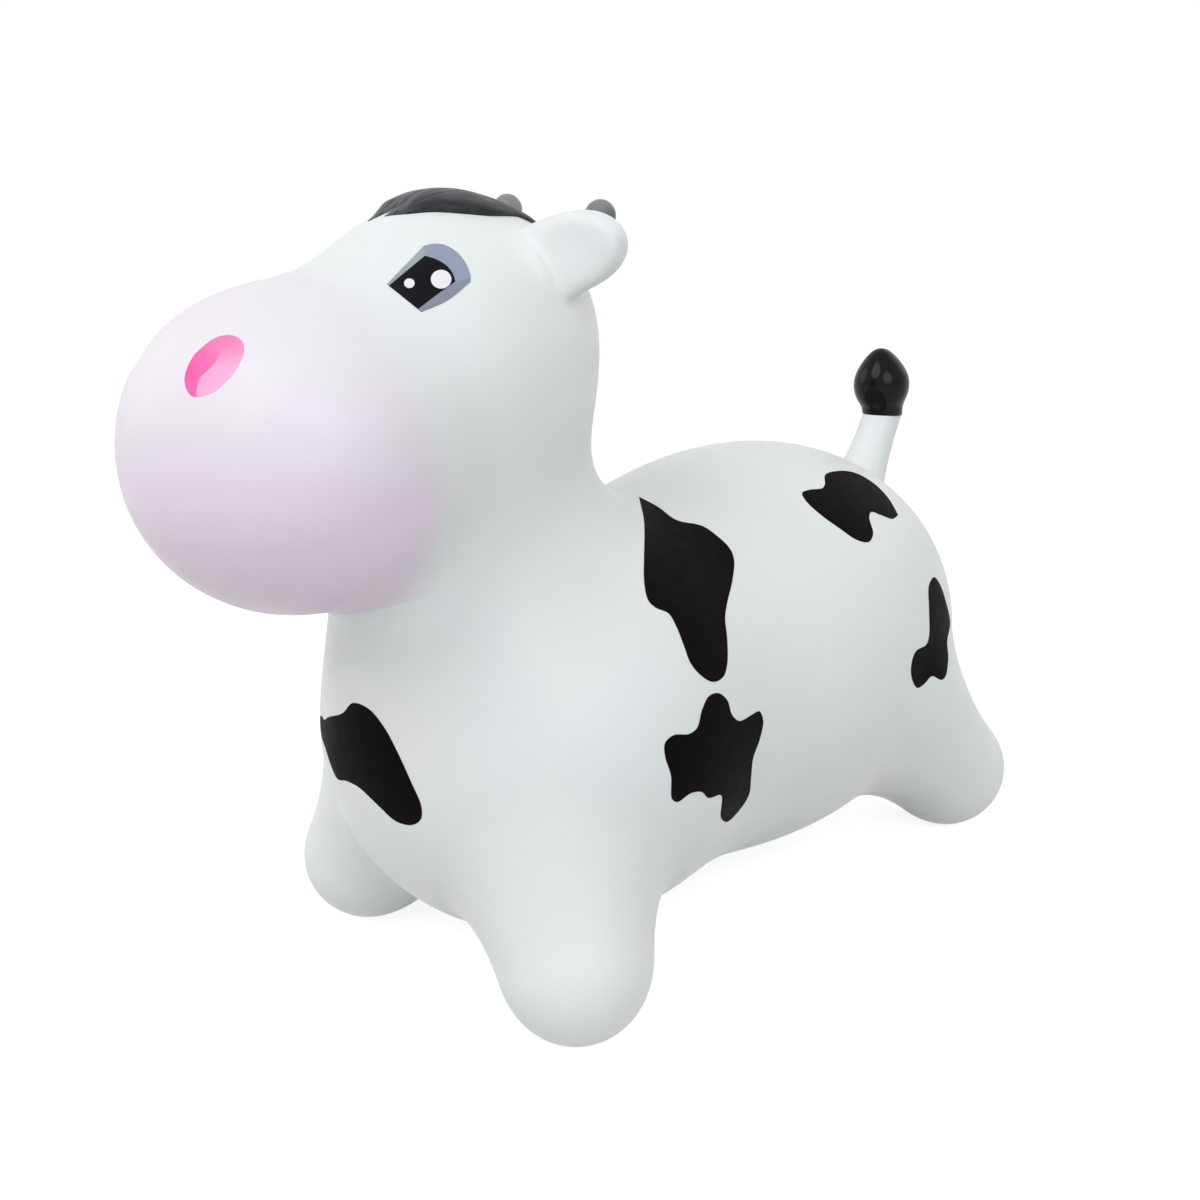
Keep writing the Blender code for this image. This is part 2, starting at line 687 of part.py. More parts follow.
def main():
    clear_scene()
    fine = soft_form()
    outer = made_symmetric(decimated(fine, FORM_TRIANGLES))
    inner = grown(outer, -WALL)
    form = BVHTree.FromPolygons([v.co for v in fine.vertices], [p.vertices for p in fine.polygons])
    clear_skin = grown(outer, GAP)

    white = material("white_vinyl", WHITE, 0.38)
    pink = material("pink_vinyl", PINK, 0.42)
    hot_pink = material("nostril_paint", HOT_PINK, 0.40)
    grey = material("hair_paint", HAIR_GREY, 0.45)
    black = material("tuft_paint", TUFT_BLACK, 0.18)
    print_black = material("eye_print", EYE_BLACK, 0.30)
    valve_white = material("valve_plastic", VALVE_WHITE, 0.45)

    sections = skin_sections(outer, inner)
    frame = valve_frame(form)
    sections["torso_skin"] = combined(sections["torso_skin"], "DIFFERENCE", valve_hole(frame))
    scoop = nostril_scoop(form, WALL + GAP)
    muzzle = combined(sections["muzzle_skin"], "DIFFERENCE", scoop)
    sections["muzzle_skin"] = combined(muzzle, "DIFFERENCE", mirrored(scoop))

    trunk = pivot("trunk", Vector())
    head = pivot("head_nod", NOD, trunk)
    tail = pivot("tail_wag", TAIL_FOOT + TAIL_AXIS * TAIL_ROOT_START, trunk)
    plug = pivot("plug_pull", frame.to_translation(), trunk)
    for name in ("torso_skin", "neck_skin", "tail_root"):
        piece(name, sections[name], trunk, white)
    piece("head_skin", sections["head_skin"], head, white)
    piece("muzzle_skin", sections["muzzle_skin"], head, pink)
    piece("forelock", forelock(form, clear_skin), head, grey)
    piece("tail_stem", sections["tail_stem"], tail, white)
    piece("tail_tuft", tuft(), tail, black)
    piece("valve_seat", valve_seat(frame), trunk, valve_white)
    piece("valve_plug", valve_plug(frame), plug, valve_white)

    on_head = {
        "horn": (horn(form, clear_skin), grey),
        "eye": (eye(form, clear_skin), print_black),
        "nostril": (nostril(form, outer), hot_pink),
        "ear_root": (sections["left_ear_root"], white),
    }
    for side, turn_point, turn_mesh in (
        ("left", lambda point: point, lambda mesh: mesh),
        ("right", other_side, mirrored),
    ):
        for name, (mesh, finish) in on_head.items():
            piece(f"{side}_{name}", turn_mesh(mesh), head, finish)
        flex = pivot(f"{side}_ear_flex", turn_point(EAR_ROOT), head)
        piece(f"{side}_ear", turn_mesh(sections["left_ear"]), flex, white)
        for end, foot in (("front", FRONT_FOOT), ("rear", REAR_FOOT)):
            press = pivot(f"{end}_{side}_press", turn_point(foot), trunk)
            piece(f"{end}_{side}_foot", turn_mesh(sections[f"{end}_left_foot"]), press, white)
            piece(f"{end}_{side}_leg", turn_mesh(sections[f"{end}_left_leg"]), trunk, white)


main()
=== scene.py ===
"""Looks of the bouncing ride-on cow: a fine soft skin, painted patches and eyes, hair, horns,
nostrils, a glossy tail tuft and the air valve. Metres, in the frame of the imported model.
"""
import json
import math

import bmesh
import bpy
import numpy as np
from mathutils import Matrix, Vector
from mathutils.bvhtree import BVHTree
from mathutils.geometry import delaunay_2d_cdt

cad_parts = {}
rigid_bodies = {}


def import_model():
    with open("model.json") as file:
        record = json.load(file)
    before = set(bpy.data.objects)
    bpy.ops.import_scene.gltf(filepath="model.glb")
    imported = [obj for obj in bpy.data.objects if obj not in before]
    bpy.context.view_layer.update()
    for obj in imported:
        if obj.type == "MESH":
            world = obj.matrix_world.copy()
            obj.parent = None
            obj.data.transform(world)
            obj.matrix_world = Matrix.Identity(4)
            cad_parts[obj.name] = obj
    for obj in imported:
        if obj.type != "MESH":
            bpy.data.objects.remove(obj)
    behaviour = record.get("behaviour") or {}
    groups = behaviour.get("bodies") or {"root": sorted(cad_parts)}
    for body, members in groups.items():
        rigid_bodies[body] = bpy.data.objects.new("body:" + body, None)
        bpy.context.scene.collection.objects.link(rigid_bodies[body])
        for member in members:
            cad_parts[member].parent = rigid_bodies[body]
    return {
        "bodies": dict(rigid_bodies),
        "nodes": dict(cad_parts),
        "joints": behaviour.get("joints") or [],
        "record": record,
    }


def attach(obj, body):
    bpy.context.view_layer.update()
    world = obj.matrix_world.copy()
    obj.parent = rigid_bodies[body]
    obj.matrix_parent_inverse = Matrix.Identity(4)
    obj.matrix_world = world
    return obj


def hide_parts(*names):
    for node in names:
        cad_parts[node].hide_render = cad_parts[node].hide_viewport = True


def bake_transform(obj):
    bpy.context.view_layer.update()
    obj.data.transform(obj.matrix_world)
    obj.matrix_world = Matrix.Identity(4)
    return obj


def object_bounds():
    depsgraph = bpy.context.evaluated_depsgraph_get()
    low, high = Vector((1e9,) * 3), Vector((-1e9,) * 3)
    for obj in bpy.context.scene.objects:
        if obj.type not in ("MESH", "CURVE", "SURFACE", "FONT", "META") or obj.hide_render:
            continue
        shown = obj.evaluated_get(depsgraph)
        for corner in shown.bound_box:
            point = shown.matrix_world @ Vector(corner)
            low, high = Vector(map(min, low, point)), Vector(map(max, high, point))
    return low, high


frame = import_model()
cad_low, cad_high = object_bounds()

# The photograph's camera: place, direction, roll and focal length in pixels of a 1200 x 1200 frame
PHOTO_SIDE = 1200
CAMERA_PLACE = Vector((0.5937, -0.5707, 0.4392))
CAMERA_AZIMUTH = 46.8426
CAMERA_ELEVATION = 15.6039
CAMERA_ROLL = -1.3131
FOCAL_PIXELS = 1310.853
SENSOR_WIDTH = 36

# The form is a field of soft lobes that melt into each other
CELL = 0.003
FIELD_LEVEL = 0.6
FIELD_STRENGTH = 2.0
FIELD_EDGE = math.sqrt(1 - (FIELD_LEVEL / FIELD_STRENGTH) ** (1 / 3))
PROBE = 0.0002
LEAST_SLOPE = 1e-9
GRID_MARGIN = 4
EVENINGS = 3
CUT_SNAP = 1e-7
UP = Vector((0, 0, 1))
AHEAD = Vector((0, -1, 0))
LEFT = Vector((1, 0, 0))
SIDES = (1, -1)


# Ways in space

def turned_about(axis, degrees):
    return Matrix.Rotation(math.radians(degrees), 3, axis)


def leaning_up(degrees):
    """Up, leaning forward by this many degrees."""
    return turned_about("X", degrees) @ UP


def sided(point, side):
    """A point or way of the left side, on the left where the side is 1 and on the right where it is -1."""
    return Vector((point[0] * side, point[1], point[2]))


def camera_ways():
    """Unit vectors to the right, up and back from the camera's view."""
    azimuth, elevation, roll = (
        math.radians(angle) for angle in (CAMERA_AZIMUTH, CAMERA_ELEVATION, CAMERA_ROLL)
    )
    share = math.cos(elevation)
    back = Vector((math.sin(azimuth) * share, -math.cos(azimuth) * share, math.sin(elevation)))
    level = Vector((math.cos(azimuth), math.sin(azimuth), 0))
    over = back.cross(level)
    right = level * math.cos(roll) + over * math.sin(roll)
    up = over * math.cos(roll) - level * math.sin(roll)
    return right, up, back


RIGHT, OVER, BACK = camera_ways()


# The soft form

class Lobe:
    """An ellipsoid of the field whose own surface, alone, has these half sizes. A power over 2 flattens
    its two faces across the local Y axis."""

    def __init__(self, centre, half_sizes, turn, power=2, strength=FIELD_STRENGTH):
        self.centre = np.array(centre, float)
        self.reach = np.array(half_sizes, float) / FIELD_EDGE
        self.turn = np.array(turn, float)
        self.power = power
        self.strength = strength
        self.extent = np.sqrt((self.turn * self.reach) ** 2 @ np.ones(3)) * 2 ** (1 / 2 - 1 / power)

    def value(self, points):
        local = np.abs((points - self.centre) @ self.turn / self.reach)
        squared = local[..., 0] ** 2 + local[..., 2] ** 2
        if self.power == 2:
            squared = squared + local[..., 1] ** 2
        else:
            whole = squared ** (self.power / 2) + local[..., 1] ** self.power
            squared = whole ** (2 / self.power)
        return self.strength * np.clip(1 - squared, 0, None) ** 3


class Limb:
    """A capsule of the field from start to end."""

    def __init__(self, start, end, radius):
        self.start = np.array(start, float)
        self.way = np.array(end, float) - self.start
        self.radius = radius / FIELD_EDGE
        self.centre = self.start + self.way / 2
        self.extent = np.abs(self.way) / 2 + self.radius

    def value(self, points):
        away = points - self.start
        share = np.clip(away @ self.way / (self.way @ self.way), 0, 1)
        away = away - share[..., None] * self.way
        return FIELD_STRENGTH * np.clip(1 - (away * away).sum(-1) / self.radius ** 2, 0, None) ** 3


SOLE_DEPTH = 0.0005
FRONT_ROOT = Vector((0.061, -0.1165, 0.1185))
FRONT_RADIUS = 0.0421
FRONT_FOOT = Vector((0.1035, -0.136, FRONT_RADIUS - SOLE_DEPTH))
REAR_ROOT = Vector((0.079, 0.178, 0.1205))
REAR_RADIUS = 0.0442
REAR_FOOT = Vector((0.095, 0.2515, REAR_RADIUS - SOLE_DEPTH))
FOOT_CUFF = 0.008
LEG_WALL_LENGTH = 0.020

MUZZLE = Vector((0, -0.239, 0.3355))
NOD = Vector((0, -0.152, 0.257))
NECK_BAND = 0.015
NECK_LEAN = 21.0
MUZZLE_EDGE = Vector((0, -0.208, 0.335))
MUZZLE_EDGE_LEAN = 11.9

# Trunk, neck, skull and muzzle: middle along Y and Z, half width, half length, half height and pitch
BODY_LOBES = (
    (-0.082, 0.1525, 0.1275, 0.108, 0.117, -2.3),
    (0.0565, 0.1505, 0.113, 0.208, 0.1245, 4.5),
    (0.142, 0.1545, 0.121, 0.134, 0.1195, 3.6),
    (-0.120, 0.2765, 0.0655, 0.075, 0.158, 3.9),
    (-0.163, 0.3595, 0.084, 0.128, 0.0725, 23.7),
    (MUZZLE.y, MUZZLE.z, 0.089, 0.062, 0.0745, 13.4),
)
LEG_LIMBS = ((FRONT_ROOT, FRONT_FOOT, FRONT_RADIUS), (REAR_ROOT, REAR_FOOT, REAR_RADIUS))

EAR_CENTRE = Vector((0.0775, -0.0945, 0.4325))
EAR_HALF_SIZES = (0.0275, 0.0085, 0.0178)
EAR_FLATNESS = 4
EAR_SWEEP = 8.0
EAR_RISE = 8.0
EAR_TWIST = 10.0
EAR_DISH = 0.0070
EAR_DISH_SHARE = 0.80
EAR_DISH_STRENGTH = -0.30
EAR_BASE = Vector((0.061, -0.0985, 0.4285))
EAR_BASE_SIZES = (0.020, 0.016, 0.0165)
EAR_BASE_STRENGTH = 0.38
EAR_ROOT = Vector((0.068, -0.0945, 0.427))
EAR_ROOT_RISE = 28.0
EAR_ROOT_LENGTH = 0.010
EAR_REACH = 0.055

TAIL_FOOT = Vector((0, 0.266, 0.240))
TAIL_AXIS = leaning_up(-22.0)
TAIL_RADIUS = 0.0142
TAIL_BASE = Vector((0, 0.2628, 0.2436))
TAIL_FILLET = Vector((0, 0.246, 0.246))
TAIL_FILLET_SIZE = 0.026
TAIL_FILLET_STRENGTH = 0.07
TAIL_ROOT_LEAN = -38.0
TAIL_ROOT_START = 0.012
TAIL_ROOT_LENGTH = 0.012
TAIL_STEM_TOP = 0.060
TUFT_FOOT = Vector((0, 0.2925, 0.2985))
TUFT_LEAN = 6.0
TUFT_SEAT_LEAN = -5.0
TAIL_OVERRUN_SHARE = 0.17


def ear_turn(side):
    turn = turned_about("Z", EAR_SWEEP * side) @ turned_about("Y", -EAR_RISE * side)
    return turn @ turned_about("X", EAR_TWIST)


def form_parts():
    """All lobes and limbs of the skin."""
    parts = [
        Lobe((0, y, z), half_sizes, turned_about("X", pitch)) for y, z, *half_sizes, pitch in BODY_LOBES
    ]
    tail_end = TUFT_FOOT + (TUFT_FOOT - TAIL_BASE) * TAIL_OVERRUN_SHARE
    fillet = (TAIL_FILLET_SIZE,) * 3
    parts += [
        Limb(TAIL_BASE, tail_end, TAIL_RADIUS),
        Lobe(TAIL_FILLET, fillet, Matrix.Identity(3), strength=TAIL_FILLET_STRENGTH),
    ]
    for root, foot, radius in LEG_LIMBS:
        parts += [Limb(sided(root, side), sided(foot, side), radius) for side in SIDES]
    length, thickness, width = EAR_HALF_SIZES
    dish_sizes = (length * EAR_DISH_SHARE, EAR_DISH, width * EAR_DISH_SHARE)
    for side in SIDES:
        centre, turn = sided(EAR_CENTRE, side), ear_turn(side)
        dish = centre + turn @ AHEAD * thickness
        parts += [
            Lobe(centre, EAR_HALF_SIZES, turn, power=EAR_FLATNESS),
            Lobe(dish, dish_sizes, turn, strength=EAR_DISH_STRENGTH),
            Lobe(sided(EAR_BASE, side), EAR_BASE_SIZES, turn, strength=EAR_BASE_STRENGTH),
        ]
    return parts


PARTS = form_parts()


def field(points):
    return sum(part.value(points) for part in PARTS)


def slope(points):
    """The field's gradient."""
    columns = []
    for axis in range(3):
        step = np.zeros(3)
        step[axis] = PROBE
        columns.append((field(points + step) - field(points - step)) / (2 * PROBE))
    return np.stack(columns, -1)


def outward(points):
    """The unit normals of the skin at points on it."""
    way = -slope(points)
    return way / np.linalg.norm(way, axis=-1, keepdims=True)


def on_skin(points, steps=3):
    """The points moved along the field's slope onto the skin."""
    points = np.array(points, float)
    for _ in range(steps):
        way = slope(points)
        short = (FIELD_LEVEL - field(points)) / np.maximum((way * way).sum(-1), LEAST_SLOPE)
        points = points + short[:, None] * way
    return points


def field_grid(low, counts):
    """The field, less its level, on a grid of CELL. Each part adds to the block that it reaches."""
    values = np.full(counts, -FIELD_LEVEL)
    for part in PARTS:
        start = np.maximum(np.floor((part.centre - part.extent - low) / CELL).astype(int), 0)
        end = np.minimum(np.ceil((part.centre + part.extent - low) / CELL).astype(int) + 1, counts)
        axes = [low[i] + CELL * np.arange(start[i], end[i]) for i in range(3)]
        block = np.stack(np.meshgrid(*axes, indexing="ij"), -1)
        values[start[0]:end[0], start[1]:end[1], start[2]:end[2]] += part.value(block)
    return values


def surface_nets(values, low):
    """A quad mesh of the surface where the values change sign: a point in each cell that it crosses."""
    inside = values > 0
    shape = np.array(values.shape) - 1
    corners = [np.array((a, b, c)) for a in (0, 1) for b in (0, 1) for c in (0, 1)]
    filled = sum(
        inside[a:shape[0] + a, b:shape[1] + b, c:shape[2] + c].astype(np.int8) for a, b, c in corners
    )
    crossed = (filled > 0) & (filled < len(corners))
    cells = np.argwhere(crossed)
    number = np.full(crossed.shape, -1)
    number[crossed] = np.arange(len(cells))
    total, crossings = np.zeros((len(cells), 3)), np.zeros(len(cells))
    for corner in corners:
        for axis in range(3):
            if corner[axis]:
                continue
            step = np.eye(3, dtype=int)[axis]
            near = values[tuple((cells + corner).T)]
            far = values[tuple((cells + corner + step).T)]
            hit = (near > 0) != (far > 0)
            share = np.where(hit, near / np.where(hit, near - far, 1), 0)
            total += hit[:, None] * (corner + share[:, None] * step)
            crossings += hit
    points = low + CELL * (cells + total / crossings[:, None])
    faces = []
    for axis in range(3):
        step, across, over = (np.eye(3, dtype=int)[(axis + turn) % 3] for turn in range(3))
        first = inside[tuple(slice(0, size - s) for size, s in zip(inside.shape, step))]
        second = inside[tuple(slice(s, None) for s in step)]
        edges = np.argwhere(first != second)
        ring = [number[tuple((edges - shift).T)] for shift in (0 * step, across, across + over, over)]
        quads = np.stack(ring, -1)
        leaving = first[tuple(edges.T)]
        faces.append(np.where(leaving[:, None], quads, quads[:, ::-1]))
    return points, np.concatenate(faces)


def evened(points, faces):
    """The points drawn halfway to the middle of their neighbours."""
    total, count = np.zeros_like(points), np.zeros(len(points))
    for a, b in ((0, 1), (1, 2), (2, 3), (3, 0)):
        for one, two in ((a, b), (b, a)):
            np.add.at(total, faces[:, one], points[faces[:, two]])
            np.add.at(count, faces[:, one], 1)
    return (points + total / count[:, None]) / 2


def fine_skin():
    """The whole skin as points and quads, on the field's surface. Its soles are made flat later, as each
    piece is made.
    """
    half_width = math.ceil(cad_high.x / CELL) + GRID_MARGIN
    border = GRID_MARGIN * CELL
    low = np.array((-half_width * CELL, cad_low.y - border, cad_low.z - border))
    counts = [2 * half_width + 1] + [
        math.ceil((cad_high[i] - cad_low[i]) / CELL) + 2 * GRID_MARGIN for i in (1, 2)
    ]
    points, faces = surface_nets(field_grid(low, counts), low)
    for _ in range(EVENINGS):
        points = on_skin(evened(points, faces), 1)
    return on_skin(points), faces


# Paints, built node by node

def node(tree, kind, inputs, output=0, **settings):
    """Adds a node with these settings, sets or links its inputs, and gives one of its outputs."""
    new = tree.nodes.new("ShaderNode" + kind)
    for name, setting in settings.items():
        setattr(new, name, setting)
    for name, value in inputs.items():
        if isinstance(value, bpy.types.NodeSocket):
            tree.links.new(value, new.inputs[name])
        else:
            new.inputs[name].default_value = value
    return new.outputs[output]


class Paint:
    """A material. Its patterns stay with the object, in metres."""

    def __init__(self, name, colour, roughness, specular=0.5):
        self.material = bpy.data.materials.new(name)
        self.material.use_nodes = True
        self.tree = self.material.node_tree
        self.shader = self.tree.nodes["Principled BSDF"]
        self.shader.inputs["Base Color"].default_value = (*colour, 1)
        self.shader.inputs["Roughness"].default_value = roughness
        self.shader.inputs["Specular IOR Level"].default_value = specular
        self.relief = None

    def place(self, stretch=(1, 1, 1)):
        """The place on the object, stretched along each axis."""
        place = node(self.tree, "TexCoord", {}, "Object")
        if stretch == (1, 1, 1):
            return place
        return node(self.tree, "Mapping", {"Vector": place, "Scale": stretch})

    def noise(self, scale, detail=2, stretch=(1, 1, 1)):
        inputs = {"Scale": scale, "Detail": detail, "Vector": self.place(stretch)}
        return node(self.tree, "TexNoise", inputs)

    def ramp(self, value, start, end, low=0, high=1):
        """From low to high, smoothly, as the value goes from start to end."""
        inputs = dict(enumerate((value, start, end, low, high)))
        return node(self.tree, "MapRange", inputs, interpolation_type="SMOOTHSTEP")

    def sum(self, operation, one, two):
        return node(self.tree, "Math", {0: one, 1: two}, operation=operation)

    def ahead_of(self, point, way):
        """How far the place is beyond a point, along a way."""
        offset = node(self.tree, "VectorMath", {0: self.place(), 1: point}, operation="SUBTRACT")
        return node(self.tree, "VectorMath", {0: offset, 1: way}, "Value", operation="DOT_PRODUCT")

    def distance_from(self, point):
        return node(self.tree, "VectorMath", {0: self.place(), 1: point}, "Value", operation="DISTANCE")

    def mix(self, factor, one, two):
        """From the first colour to the second, as the factor goes from 0 to 1."""
        colours = [tint if isinstance(tint, bpy.types.NodeSocket) else (*tint, 1) for tint in (one, two)]
        return node(self.tree, "Mix", {0: factor, 6: colours[0], 7: colours[1]}, 2, data_type="RGBA")

    def colour(self, value):
        self.tree.links.new(value, self.shader.inputs["Base Color"])

    def roughness(self, scale, low, high):
        gloss = self.ramp(self.noise(scale), *NOISE_SPAN, low, high)
        self.tree.links.new(gloss, self.shader.inputs["Roughness"])

    def bump(self, height, depth):
        """Adds relief of a depth in metres."""
        inputs = {"Strength": 1, "Distance": depth, "Height": height}
        if self.relief is not None:
            inputs["Normal"] = self.relief
        self.relief = node(self.tree, "Bump", inputs)
        self.tree.links.new(self.relief, self.shader.inputs["Normal"])


# Noise is given by its scale, and its detail where that isn't 2. Its values lie mostly in this span
NOISE_SPAN = (0.3, 0.7)
GRAIN = 900
GRAIN_DEPTH = 0.000035
SPRAYED_GRAIN_DEPTH = 0.000025
WAVES = (28, 3)
WAVE_DEPTH = 0.00035
VINYL_COOL = (0.855, 0.890, 0.885)
VINYL_WARM = (0.870, 0.888, 0.865)
MUZZLE_PINK = (0.880, 0.745, 0.862)
EAR_BLUSH = (0.950, 0.920, 0.955)
EAR_BLUSH_OUT = 0.005
EAR_BLUSH_WIDTH = 0.017
EAR_BLUSH_STRENGTH = 0.6
PINK_EDGE = MUZZLE_EDGE + Vector((0, 0.004, 0))
PINK_EDGE_LEAN = 8.5
PINK_FADE_BEHIND = 0.013
PINK_FADE_AHEAD = 0.020
PINK_UNEVENNESS = 0.006
PINK_THIN_ABOVE = 0.065
PINK_FULL_BELOW = 0.045
PINK_THIN_SHARE = 0.45


def vinyl(name):
    """Soft blown vinyl: satin, faintly uneven, with the grain of the mould."""
    paint = Paint(name, VINYL_COOL, 0.45, 0.4)
    tint = paint.mix(paint.ramp(paint.noise(9), 0.35, 0.65), VINYL_COOL, VINYL_WARM)
    paint.colour(tint)
    paint.roughness(45, 0.40, 0.50)
    paint.bump(paint.noise(*WAVES), WAVE_DEPTH)
    paint.bump(paint.noise(GRAIN), GRAIN_DEPTH)
    return paint, tint


def face_vinyl():
    """The vinyl of the head, with the pink spray that fades out behind the muzzle."""
    paint, tint = vinyl("face_vinyl")
    beyond = paint.ahead_of(PINK_EDGE, turned_about("X", PINK_EDGE_LEAN) @ AHEAD)
    uneven = paint.sum("MULTIPLY", paint.noise(60, 3), PINK_UNEVENNESS)
    beyond = paint.sum("ADD", beyond, uneven)
    edge = paint.ramp(beyond, -PINK_FADE_BEHIND, PINK_FADE_AHEAD)
    below = paint.ahead_of(MUZZLE, -UP)
    strength = paint.ramp(below, -PINK_THIN_ABOVE, PINK_FULL_BELOW, PINK_THIN_SHARE)
    paint.colour(paint.mix(paint.sum("MULTIPLY", edge, strength), tint, MUZZLE_PINK))
    return paint.material


def ear_vinyl(side):
    """The vinyl of an ear, with a blush in its dish."""
    paint, tint = vinyl("left_ear_vinyl" if side > 0 else "right_ear_vinyl")
    out = AHEAD * EAR_HALF_SIZES[1] + LEFT * (EAR_BLUSH_OUT * side)
    middle = sided(EAR_CENTRE, side) + ear_turn(side) @ out
    blush = paint.ramp(paint.distance_from(middle), 0, EAR_BLUSH_WIDTH, EAR_BLUSH_STRENGTH, 0)
    paint.colour(paint.mix(blush, tint, EAR_BLUSH))
    return paint.material


def skin_paint(node):
    if node in ("head_skin", "muzzle_skin"):
        return paints["face"]
    if node.startswith(("left_ear", "right_ear")):
        return paints[node.removesuffix("_root")]
    return paints["vinyl"]


def flat_paint(name, colour, roughness, specular, shade=0.8):
    """Printed or sprayed paint: slightly uneven in colour and gloss, on the grain of the vinyl."""
    paint = Paint(name, colour, roughness, specular)
    darker = tuple(share * shade for share in colour)
    paint.colour(paint.mix(paint.ramp(paint.noise(70, 3), *NOISE_SPAN), darker, colour))
    paint.roughness(120, roughness * 0.93, roughness * 1.07)
    paint.bump(paint.noise(GRAIN), SPRAYED_GRAIN_DEPTH)
    return paint


# The first hair colour is painted light along the top of the head; the two crown widths say where it is full
# and where it has faded to grey
HAIR_PAINTED_LIGHT = (0.105, 0.112, 0.122)
HAIR_GREY = (0.026, 0.029, 0.031)
HAIR_DARK = (0.013, 0.0145, 0.016)
HAIR_STRANDS = (420, 26, 160)
STRAND_DEPTH = 0.00035
CROWN_PAINTED_LIGHT_WIDTH = 0.004
CROWN_PAINTED_LIGHT_END = 0.019
# Painted light on the horns: lighter from the shade height up to the shine height
HORN_PAINTED_LIGHT = (0.25, 0.26, 0.27)
HORN_SHADE = 0.440
HORN_SHINE = 0.462
HORN_UNEVENNESS = 0.004
TUFT_BLACK = (0.0030, 0.0028, 0.0032)
TUFT_DENT_DEPTH = 0.0002
# Nostril pinks: the deep one is painted shade for the wall turned from the light, the light one painted
# light for the wall turned to it
NOSTRIL_PAINTED_SHADE_PINK = (1.0, 0.17, 0.50)
NOSTRIL_PAINTED_LIGHT_PINK = (0.98, 0.48, 0.74)
NOSTRIL_MIDDLE = (0.98, 0.30, 0.56)
NOSTRIL_FADE_START = 0.2
NOSTRIL_FADE_END = 0.8
ORIGIN = (0, 0, 0)


def hair_paint():
    """Moulded strands that run back over the head, with painted light along the middle of the head that
    fades to grey towards its sides.
    """
    paint = Paint("hair_grey", HAIR_GREY, 0.45, 0.2)
    strands = paint.noise(1, 3, HAIR_STRANDS)
    # Painted light: lighter near the middle of the head, as if lit from above, and grey towards the sides
    outward_by = paint.sum("ABSOLUTE", paint.ahead_of(ORIGIN, LEFT), 0)
    painted_light_fade = paint.ramp(outward_by, CROWN_PAINTED_LIGHT_WIDTH, CROWN_PAINTED_LIGHT_END)
    crown_painted_light = paint.mix(painted_light_fade, HAIR_PAINTED_LIGHT, HAIR_GREY)
    paint.colour(paint.mix(paint.ramp(strands, 0.25, 0.6), HAIR_DARK, crown_painted_light))
    paint.roughness(90, 0.38, 0.5)
    paint.bump(strands, STRAND_DEPTH)
    return paint.material


def horn_paint():
    """The hair's grey, with painted light towards the tip: lighter the higher it stands."""
    paint = flat_paint("horn_grey", HAIR_GREY, 0.45, 0.35)
    uneven = paint.sum("MULTIPLY", paint.noise(160, 3), HORN_UNEVENNESS)
    height = paint.sum("ADD", paint.ahead_of(ORIGIN, UP), uneven)
    paint.colour(paint.mix(paint.ramp(height, HORN_SHADE, HORN_SHINE), HAIR_GREY, HORN_PAINTED_LIGHT))
    return paint.material


def tuft_paint():
    paint = flat_paint("tuft_black", TUFT_BLACK, 0.15, 0.16)
    paint.bump(paint.noise(55), TUFT_DENT_DEPTH)
    return paint.material


def nostril_paint(name, shade, middle, along):
    """Hot pink, with painted shade on one wall and painted light on the other, that evens out towards the
    top of the nostril.
    """
    paint = flat_paint(name, shade, 0.45, 0.3)
    length = np.linalg.norm(along)
    height = paint.ahead_of(middle, along / length)
    top = paint.ramp(height, -length * NOSTRIL_FADE_START, -length * NOSTRIL_FADE_END)
    paint.colour(paint.mix(top, shade, NOSTRIL_MIDDLE))
    return paint.material


# Paints of one flat colour: name, colour, roughness, specular level, and brightness where it is darker
FLAT_PAINTS = {
    "patch": ("patch_black", (0.0052, 0.0038, 0.0042), 0.58, 0.025, 0.94),
    "eye_grey": ("eye_grey", (0.31, 0.36, 0.48), 0.4, 0.3, 0.95),
    "eye_shade": ("eye_shade", (0.37, 0.42, 0.46), 0.4, 0.3, 0.90),
    "eye_dusk": ("eye_dusk", (0.265, 0.285, 0.36), 0.4, 0.3, 0.92),
    "eye_black": ("eye_black", (0.0025, 0.0025, 0.005), 0.35, 0.1),
    "eye_white": ("eye_white", (0.90, 0.90, 0.93), 0.4, 0.3, 0.97),
    "valve": ("valve_white", (0.80, 0.82, 0.80), 0.36, 0.5, 0.96),
}


def make_paints():
    shaped = {
        "vinyl": vinyl("white_vinyl_skin")[0].material,
        "face": face_vinyl(),
        "left_ear": ear_vinyl(1),
        "right_ear": ear_vinyl(-1),
        "hair": hair_paint(),
        "horn": horn_paint(),
        "tuft": tuft_paint(),
    }
    flat = {name: flat_paint(*settings).material for name, settings in FLAT_PAINTS.items()}
    return {**shaped, **flat}


def finish_with(piece, material):
    piece.data.materials.append(material)


# Outlines, and drawing on the skin

def curve_between(before, here, there, after, spacing):
    """A smooth curve from here towards there, without its last point."""
    points = [before, here, there, after]
    strides = [math.sqrt(np.linalg.norm(b - a)) for a, b in zip(points, points[1:])]
    knots = np.cumsum([0, *strides])
    steps = max(1, round(np.linalg.norm(there - here) / spacing))
    at = np.linspace(knots[1], knots[2], steps, endpoint=False)[:, None]

    def between(one, two, first, second):
        return (one * (knots[second] - at) + two * (at - knots[first])) / (knots[second] - knots[first])

    low, middle, high = (between(points[i], points[i + 1], i, i + 1) for i in range(3))
    return between(between(low, middle, 0, 2), between(middle, high, 1, 3), 1, 2)


